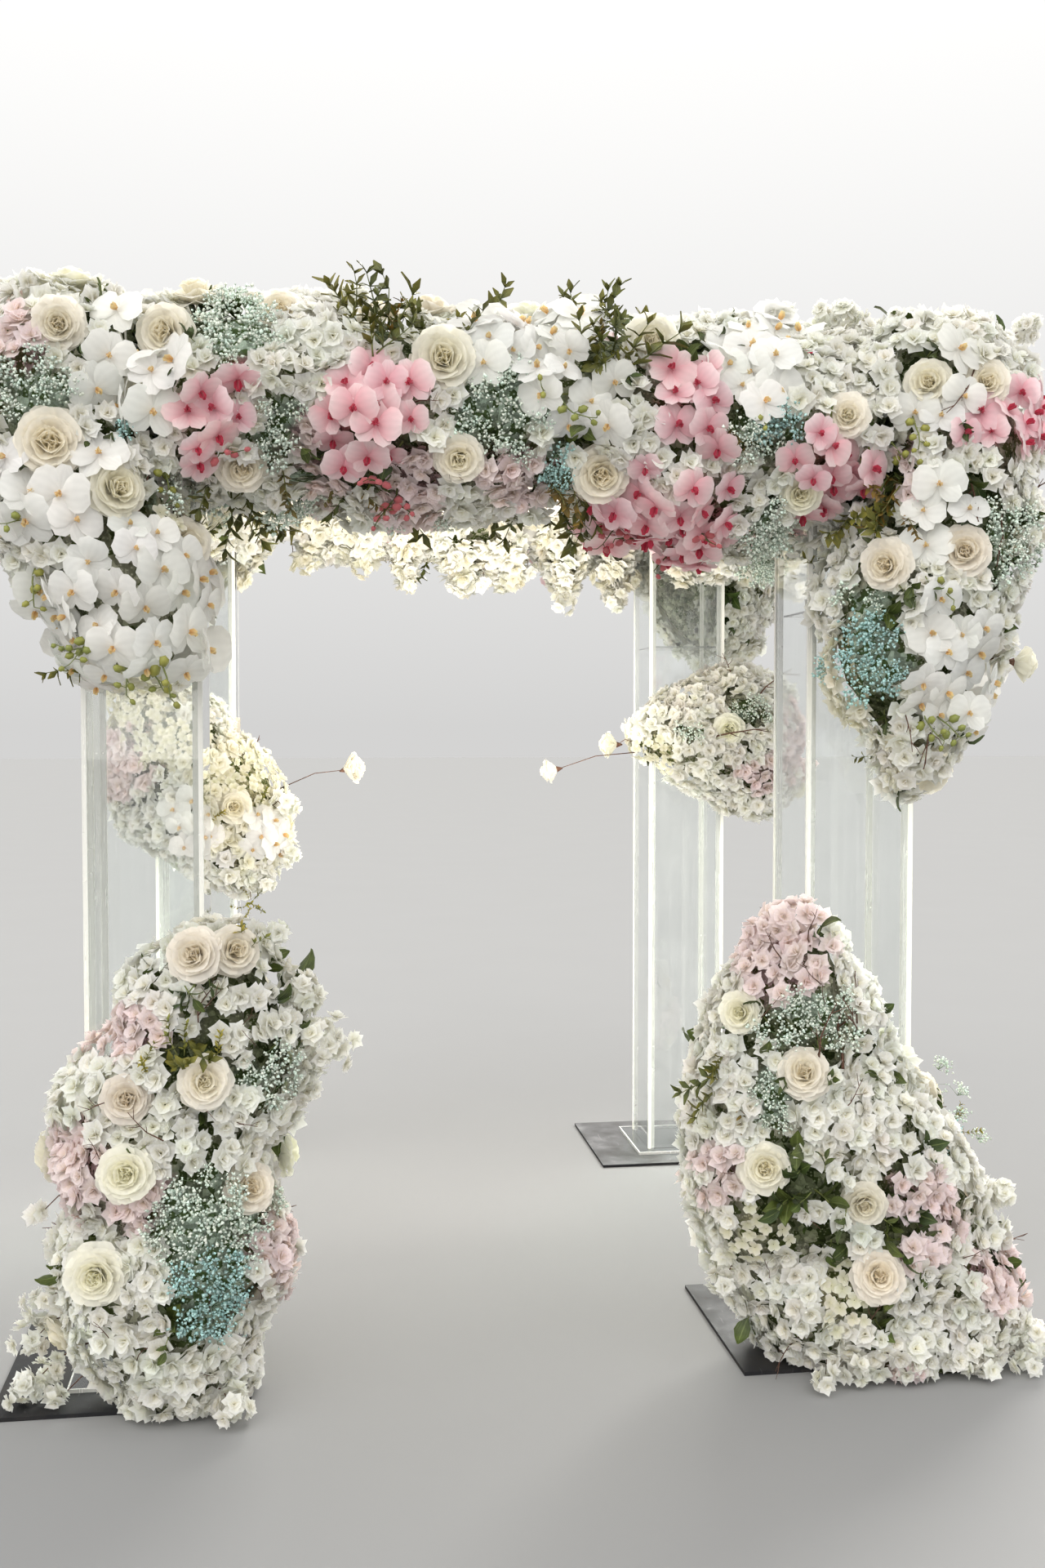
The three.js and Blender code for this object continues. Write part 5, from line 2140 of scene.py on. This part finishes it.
@dataclass
class Framework:
    """The rigid frame: plates, clear columns, caps and beams, with the small parts that only show."""

    finishes: dict[str, bpy.types.Material]
    joint_height: float = 2.04
    joint_thick: float = 0.006
    sheet_thick: float = 0.010
    rod_wide: float = 0.016
    band_height: float = 1.712
    band_wide: float = 0.072
    band_steps: int = 14
    band_rows: int = 8

    def dress(self, node: str, finish: str) -> None:
        """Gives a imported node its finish.

        Args:
            node: The node's name.
            finish: The finish's name.
        """
        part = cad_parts[node]
        if not part.material_slots:
            part.data.materials.append(self.finishes[finish])
        for held in part.material_slots:
            held.material = self.finishes[finish]

    def dress_all(self) -> None:
        """Finishes every rigid node."""
        for corner in CORNERS:
            self.dress(f"{corner}_base_plate", "steel")
            self.dress(f"{corner}_flange", "flange")
            self.dress(f"{corner}_cap_plate", "paint")
            for face in SIDES:
                self.dress(f"{corner}_column_{face}", "acrylic")
        for side in SIDES:
            self.dress(f"{side}_beam", "paint")

    def column(self, corner: str) -> tuple[Vector, float]:
        """Middle of a column's cap plate, and the column's width."""
        low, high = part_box(f"{corner}_cap_plate")
        return (low + high) / 2, high.x - low.x

    def block(self, name: str, place: Place, size: Place) -> bpy.types.Object:
        """A new rectangular block at a place, of a size along each axis.

        Args:
            name: Its name.
            place: Its middle.
            size: Its length on each axis.

        Returns:
            The block.
        """
        Bench.clear()
        bpy.ops.mesh.primitive_cube_add(size=1, location=place)
        block = bpy.context.object
        block.scale = size
        return Bench.settle(block, name)

    def joint_plate(self, corner: str) -> None:
        """A thin clear plate across the inside of a column, where its upper length starts.

        Args:
            corner: Which column.
        """
        middle, width = self.column(corner)
        inner = width - 2 * self.sheet_thick - 2 * self.rod_wide - 0.002
        place = (middle.x, middle.y, self.joint_height)
        plate = self.block(f"{corner}_column_joint_plate", place, (inner, inner, self.joint_thick))
        Bench.modify(plate, "BEVEL", width=0.0012, segments=2)
        plate.data.materials.append(self.finishes["flange"])
        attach(plate, "root")
        LOG.info("%s: clear plate at %.2f m", plate.name, self.joint_height)

    def rods(self, corner: str) -> None:
        """The clear rods glued into the inside corners of a column, coloured all over with the painted edge
        glow.

        Args:
            corner: Which column.
        """
        low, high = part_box(f"{corner}_column_front")
        middle, width = self.column(corner)
        offset = width / 2 - self.sheet_thick - self.rod_wide / 2 - 0.0006
        size = (self.rod_wide, self.rod_wide, high.z - low.z - 0.002)
        parts = []
        for sign_x, sign_y in product((-1, 1), repeat=2):
            place = (middle.x + sign_x * offset, middle.y + sign_y * offset, (low.z + high.z) / 2)
            parts.append(self.block(f"{corner}_rod", place, size))
        Bench.hold(parts[0])
        for rod in parts:
            rod.select_set(True)
        bpy.ops.object.join()
        rods = Bench.settle(bpy.context.object, f"{corner}_column_corner_rods")
        Bench.modify(rods, "BEVEL", width=0.002, segments=2)
        rods.data.materials.append(self.finishes["rod"])
        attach(rods, "root")
        LOG.info("%s: four clear rods, %.0f mm", rods.name, self.rod_wide * 1000)

    def band_path(self) -> list[tuple[float, float]]:
        """Places round a square from -1 to 1, in even steps.

        Returns:
            The places in order.
        """
        turns = ((-1, -1), (1, -1), (1, 1), (-1, 1), (-1, -1))
        return [
            tuple(a + (b - a) * step / self.band_steps for a, b in zip(start, stop))
            for start, stop in zip(turns, turns[1:])
            for step in range(self.band_steps)
        ]

    def band(self) -> None:
        """The strip of white cloth tied round the back left column."""
        middle, width = self.column("back_left")
        half = width / 2 + 0.002
        path = self.band_path()
        mesh = bmesh.new()
        rings = []
        for row in range(self.band_rows + 1):
            ring = []
            for index, (x, y) in enumerate(path):
                crease = 0.003 * (row % 2) + 0.0015 * math.sin(index * 1.9 + row)
                sag = 0.006 * math.sin(index * 0.5) + 0.002 * math.sin(index * 1.3 + row * 2.0)
                spread = half + 0.0015 + abs(crease)
                up = (row / self.band_rows - 0.5) * self.band_wide * (1 + 0.18 * math.sin(index))
                place = (middle.x + x * spread, middle.y + y * spread, self.band_height + up + sag)
                ring.append(mesh.verts.new(place))
            rings.append(ring)
        for below, above in zip(rings, rings[1:]):
            for index in range(len(path)):
                after = (index + 1) % len(path)
                mesh.faces.new((below[index], below[after], above[after], above[index]))
        data = bpy.data.meshes.new("back_left_column_band")
        mesh.to_mesh(data)
        mesh.free()
        band = bpy.data.objects.new("back_left_column_band", data)
        bpy.context.scene.collection.objects.link(band)
        data.materials.append(self.finishes["cloth"])
        Bench.modify(band, "SUBSURF", levels=1, render_levels=1)
        Bench.smooth(band)
        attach(band, "root")
        LOG.info("%s: strip %.0f mm wide", band.name, self.band_wide * 1000)

    def build(self) -> None:
        """Dresses the nodes and adds the small parts."""
        self.dress_all()
        for corner in CORNERS:
            self.joint_plate(corner)
            self.rods(corner)
        self.band()


@dataclass
class CeilingCloth:
    """The cloth that lies on the beams and sags between them.

    Attributes:
        finish: The cloth's material.
        sag: How far its middle hangs below the beams.
        cells: Squares along each side.
        ripple: Height of the folds that run in from the beams.
    """

    finish: bpy.types.Material
    sag: float = 0.082
    cells: int = 96
    ripple: float = 0.007

    def fall(self, x: float, y: float) -> float:
        """Height of the cloth against the beams, at a place from -1 to 1 on either axis.

        Args:
            x, y: The place.

        Returns:
            The height in metres.
        """
        bowl = (1 - x * x) * (1 - y * y)
        along = noise.noise(Vector((x * 9.0, y * 1.6, 0.3))) * (1 - abs(x) ** 3)
        other = noise.noise(Vector((x * 1.6, y * 9.0, 5.3))) * (1 - abs(y) ** 3)
        corner = math.sin(math.atan2(abs(y), abs(x)) * 22.0) * (abs(x * y)) ** 1.5 * 0.5
        return -self.sag * bowl ** 0.8 + self.ripple * (along * abs(y) + other * abs(x) + corner)

    def build(self) -> None:
        low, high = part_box("ceiling_cloth")
        half = (high.x - low.x) / 2
        Bench.clear()
        bpy.ops.mesh.primitive_grid_add(x_subdivisions=self.cells, y_subdivisions=self.cells, size=2)
        cloth = bpy.context.object
        for vert in cloth.data.vertices:
            x, y = vert.co.x, vert.co.y
            vert.co = (x * half, y * half, high.z - 0.002 + min(0.0, self.fall(x, y)))
        Bench.settle(cloth, "ceiling_cloth_sheet")
        Bench.smooth(cloth)
        cloth.data.materials.append(self.finish)
        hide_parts("ceiling_cloth")
        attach(cloth, "root")


@dataclass
class Studio:
    """A plain pale floor and soft light from all round.

    Attributes:
        floor_half: Half the floor's side.
        floor_tone: Its colour.
        sky_tone: Colour of the light from all round.
        lamp_tone: Colour of the lamps.
        fill_tone: Colour of the panels under the canopy.
        level: Strength of the sky at the horizon.
        overhead: What is added to it overhead.
        ahead: What is added to it from in front of the canopy.
    """

    floor_half: float = 80.0
    floor_tone: Colour = (0.296, 0.297, 0.297)
    sky_tone: Colour = (1.0, 0.995, 0.985)
    lamp_tone: Colour = (1.0, 0.975, 0.93)
    fill_tone: Colour = (1.0, 0.955, 0.885)
    level: float = 0.66
    overhead: float = 0.62
    ahead: float = 0.36

    def floor(self) -> None:
        """A large matt floor."""
        Bench.clear()
        bpy.ops.mesh.primitive_plane_add(size=2 * self.floor_half, location=(0, 0, -0.0005))
        floor = bpy.context.object
        floor.name = "studio_floor"
        nodes = Nodes("studio_floor")
        darker = tuple(value * 0.97 for value in self.floor_tone)
        tone = nodes.mix(nodes.noise(1.4, 3.0), self.floor_tone, darker)
        nodes.set(Base_Color=tone, Roughness=0.9, Specular_IOR_Level=0.0)
        floor.data.materials.append(nodes.material)

    def light(self, name: str, kind: str, place: Place, aim: Place, power: float) -> bpy.types.Object:
        """A light of a kind, at a place, that looks at another place.

        Args:
            name: Its name.
            kind: Its type.
            place: Where it stands.
            aim: What it looks at.
            power: Its strength.

        Returns:
            The light.
        """
        data = bpy.data.lights.new(name, kind)
        data.energy = power
        light = bpy.data.objects.new(name, data)
        light.location = place
        light.rotation_euler = (Vector(aim) - Vector(place)).to_track_quat("-Z", "Y").to_euler()
        bpy.context.scene.collection.objects.link(light)
        return light

    def lamp(self, name: str, place: Place, wide_deg: float, strength: float) -> None:
        """A far, wide and soft light that looks at the canopy's middle."""
        lamp = self.light(name, "SUN", place, (0.0, 0.0, 1.5), strength)
        lamp.data.angle = math.radians(wide_deg)
        lamp.data.color = self.lamp_tone

    def fill(self, name: str, place: Place, aim: Place, side: float, power: float) -> None:
        """A wide panel under the canopy that lights it from inside and isn't seen itself.

        Args:
            name: Its name.
            place: Where it stands.
            aim: What it looks at.
            side: Its width.
            power: Its strength.
        """
        panel = self.light(name, "AREA", place, aim, power)
        panel.data.size = side
        panel.data.color = self.fill_tone
        panel.visible_camera = False
        panel.visible_glossy = False
        panel.visible_transmission = False

    def sky(self) -> None:
        """Light from all round, stronger overhead and from in front of the canopy."""
        world = bpy.data.worlds.new("studio_sky")
        bpy.context.scene.world = world
        world.use_nodes = True
        tree = world.node_tree
        glow = tree.nodes["Background"]
        glow.inputs["Color"].default_value = (*self.sky_tone, 1.0)
        way = tree.nodes.new("ShaderNodeTexCoord")
        axes = tree.nodes.new("ShaderNodeSeparateXYZ")
        tree.links.new(way.outputs["Generated"], axes.inputs[0])
        both = tree.nodes.new("ShaderNodeMath")
        both.operation = "ADD"
        for at, (axis, *ends) in enumerate((
            ("Z", 0.0, 0.7, self.level, self.level + self.overhead),
            ("Y", -0.9, 0.0, self.ahead, 0.0),
        )):
            ramp = tree.nodes.new("ShaderNodeMapRange")
            tree.links.new(axes.outputs[axis], ramp.inputs["Value"])
            for key, number in zip(("From Min", "From Max", "To Min", "To Max"), ends):
                ramp.inputs[key].default_value = number
            tree.links.new(ramp.outputs["Result"], both.inputs[at])
        tree.links.new(both.outputs[0], glow.inputs["Strength"])

    def build(self) -> None:
        """Sets the floor, the lights and the sky."""
        self.floor()
        self.sky()
        self.lamp("key_light", (-5.0, -8.0, 6.0), 80.0, 1.55)
        self.lamp("back_light", (3.0, 7.0, 6.5), 30.0, 4.2)
        self.fill("low_fill", (0.0, 0.0, 0.25), (0.0, 0.0, 2.0), 2.2, 14.0)
        self.fill("middle_fill", (0.0, -0.3, 1.4), (0.0, 1.0, 1.45), 1.0, 14.0)
        self.fill("inner_fill", (0.0, 0.2, 1.92), (0.0, 0.85, 2.46), 1.2, 15.0)


def make_finishes() -> dict[str, bpy.types.Material]:
    """Makes every material once.

    Returns:
        The materials by name.
    """
    low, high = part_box("back_right_cap_plate")
    centre = (low.x + high.x) / 2
    half = (high.x - low.x) / 2
    flange_low, flange_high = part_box("back_right_flange")
    flange_half = (flange_high.x - flange_low.x) / 2
    return {
        "petal": PetalFinish("fabric_petals").build(),
        "sprig": LeafFinish("mint_beads", 0.7, 0.0, 0.9).build(),
        "leaf": LeafFinish("waxed_leaves").build(),
        "twig": TwigFinish("bare_twigs").build(),
        "bed": BedFinish("packed_flowers").build(),
        "acrylic": AcrylicFinish("clear_sheet", centre, half - 0.0115, True).build(),
        # The rods take the painted edge glow all over: their whole length is coloured near-white and partly
        # solid
        "rod": AcrylicFinish("clear_rod", 0.0, 0.0, False, edge=(0.84, 0.84, 0.81), edge_solid=0.42).build(),
        "flange": AcrylicFinish("clear_flange", centre, flange_half - 0.004, False).build(),
        "steel": SteelFinish("black_plate").build(),
        "paint": PaintFinish("white_paint").build(),
        "cloth": ClothFinish("ivory_cloth").build(),
    }


def main() -> None:
    """Builds the scene in order and reports each piece."""
    logging.basicConfig(level=logging.INFO, format="%(message)s")
    VIEW.build()
    Studio().build()
    finishes = make_finishes()
    Framework(finishes).build()
    CeilingCloth(finishes["cloth"]).build()
    Garden(planting_book(Nursery()), finishes).plant_all()
    bpy.context.scene.view_settings.view_transform = "Standard"


if __name__ == "__main__":
    main()
